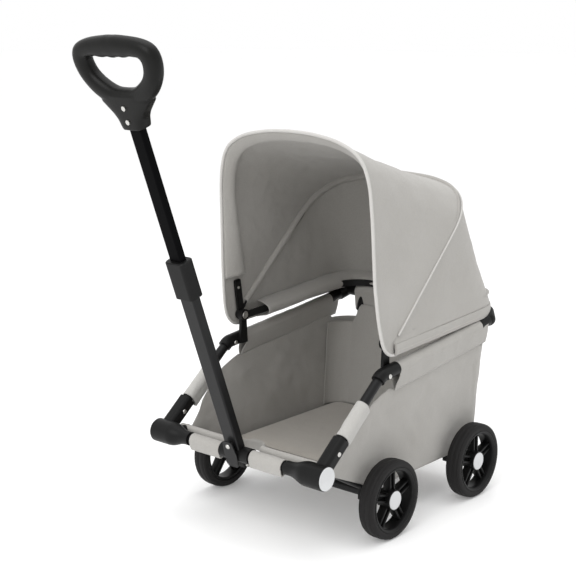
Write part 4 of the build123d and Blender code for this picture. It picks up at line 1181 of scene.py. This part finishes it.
for side, sign in SIDES.items():
    dress(sew(f"sleeve_stitches_{side}", [wall_seam(sign, 0, 3.4), wall_seam(sign, 5, 2.6)], step=3.6, length=2.5,
              thick=0.6), THREAD, "frame")
dress(sew("front_edge_stitches", [beside(front_curve, mid_curve, 5.0, 0.75, "front")]), THREAD,
      "canopy_front_end")
hem_line = []
for w, d in outline(BACK_LINE, 181):
    p = bow_place(ANGLES["back"], w, d)
    hem_line.append((p[0] * 1.012, p[1] + 0.9 * (d > 250), hem_low(p[1]) + 6.0))
dress(sew("hem_stitches", [hem_line]), THREAD, "frame")
print("stitched")

# %% [markdown]
# ## What each sheet was cut from
# A sheet keeps its area when it is sewn up, so each is given the size it was cut to. The
# sizes were worked out from the measured outlines: lengths of tubes and bows,
# heights of the walls, girths of the loops. The sewn areas were known by then, so
# none of the comparisons below is blind. The three bow sleeves and the hem were set with
# those areas in view, so theirs show nothing. The loops' girths follow from the drop
# section above, so theirs show little.

# %% Flat sizes: width, length and area in metres, how it is held, what it rests on
CUTS = {
    "tub_walls": (1.12, 0.209, 0.184, "hung", ["side_tube_left", "side_tube_right"]),
    "tub_lining": (0.34, 0.184, 0.059, "hung", []),
    "floor_cloth": (0.285, 0.424, 0.119, "laid", ["floor_board"]),
    "top_sleeve_left": (0.101, 0.262, None, "stretched", ["side_tube_left"]),
    "top_sleeve_right": (0.101, 0.262, None, "stretched", ["side_tube_right"]),
    "slope_sleeve_left": (0.082, 0.0643, None, "stretched", ["side_tube_left"]),
    "slope_sleeve_right": (0.082, 0.0643, None, "stretched", ["side_tube_right"]),
    "front_sleeve_left": (0.068, 0.0645, None, "stretched", ["front_cross_tube"]),
    "front_sleeve_right": (0.068, 0.0645, None, "stretched", ["front_cross_tube"]),
    "rear_sleeve": (0.111, 0.252, None, "stretched", ["rear_cross_tube"]),
    "canopy_front_panel": (0.951, 0.315, 0.186, "stretched", ["mid_bow"]),
    "canopy_rear_panel": (0.906, 0.222, 0.127, "stretched", ["mid_bow", "rear_bow"]),
    "front_bow_sleeve": (0.743, 0.045, 0.028, "stretched", []),
    "mid_bow_sleeve": (0.86, 0.0216, None, "stretched", ["mid_bow"]),
    "rear_bow_sleeve": (0.735, 0.078, None, "stretched", ["rear_bow"]),
    "canopy_hem": (0.906, 0.02, 0.0175, "stretched", ["rear_bow"]),
}
for name, (width, length, area, held, rests_on) in CUTS.items():
    piece = bpy.data.objects[name]
    sewn = sum(f.area for f in piece.data.polygons) / 2
    print(name, "sewn area over flat area", round(sewn / (area or width * length), 2))

# %% [markdown]
# ## Camera, floor and light
# The camera stands at the front left, a little above the canopy. The floor is a plain
# pale sweep. Two large soft lights and a white surround give the even light of a studio,
# and a little light from the floor itself keeps it as white as the surround.

# %% Camera, floor and lights
camera = bpy.data.objects.new("camera", bpy.data.cameras.new("camera"))
bpy.context.scene.collection.objects.link(camera)
camera.data.lens = 78.6
camera.data.sensor_width = 36.0
azimuth, elevation = math.radians(40.849), math.radians(11.842)
camera.location = (1.27006, -1.50460, 0.78765)
camera.rotation_euler = (math.pi / 2 - elevation, 0, azimuth)
bpy.context.scene.camera = camera

floor_mesh = bpy.data.meshes.new("studio_floor")
floor_mesh.from_pydata([(-30, -30, 0), (30, -30, 0), (30, 30, 0), (-30, 30, 0)], [], [(0, 1, 2, 3)])
studio_floor = bpy.data.objects.new("studio_floor", floor_mesh)
bpy.context.scene.collection.objects.link(studio_floor)
paint = Finish("floor_paint", Roughness=0.9, Specular_IOR_Level=0.1)
paint.shader.inputs["Base Color"].default_value = (0.86, 0.86, 0.86, 1)
paint.shader.inputs["Emission Color"].default_value = (1, 1, 1, 1)
paint.shader.inputs["Emission Strength"].default_value = 0.14
floor_mesh.materials.append(paint.material)
studio_floor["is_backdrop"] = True


def softbox(name, place, size, power, aim=(0, 0.08, 0.3), tint=(1, 1, 1)):
    lamp = bpy.data.lights.new(name, "AREA")
    lamp.shape = "RECTANGLE"
    lamp.size, lamp.size_y = size
    lamp.energy = power
    lamp.color = tint
    holder = bpy.data.objects.new(name, lamp)
    bpy.context.scene.collection.objects.link(holder)
    holder.location = place
    holder.rotation_euler = (Vector(aim) - Vector(place)).to_track_quat("-Z", "Y").to_euler()
    return holder


softbox("key", (0.3, -2.4, 2.1), (1.8, 1.8), 34)
softbox("top", (0.1, 0.3, 2.9), (2.4, 2.4), 24)
world = bpy.data.worlds.new("studio")
bpy.context.scene.world = world
world.use_nodes = True
world.node_tree.nodes["Background"].inputs[0].default_value = (1, 1, 1, 1)
world.node_tree.nodes["Background"].inputs[1].default_value = 1.0
bpy.context.scene.view_settings.view_transform = "Standard"
print("camera, floor and lights placed")

# %% Size of the finished model
low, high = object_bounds()
print("visual box", [round(v, 3) for v in low], [round(v, 3) for v in high])
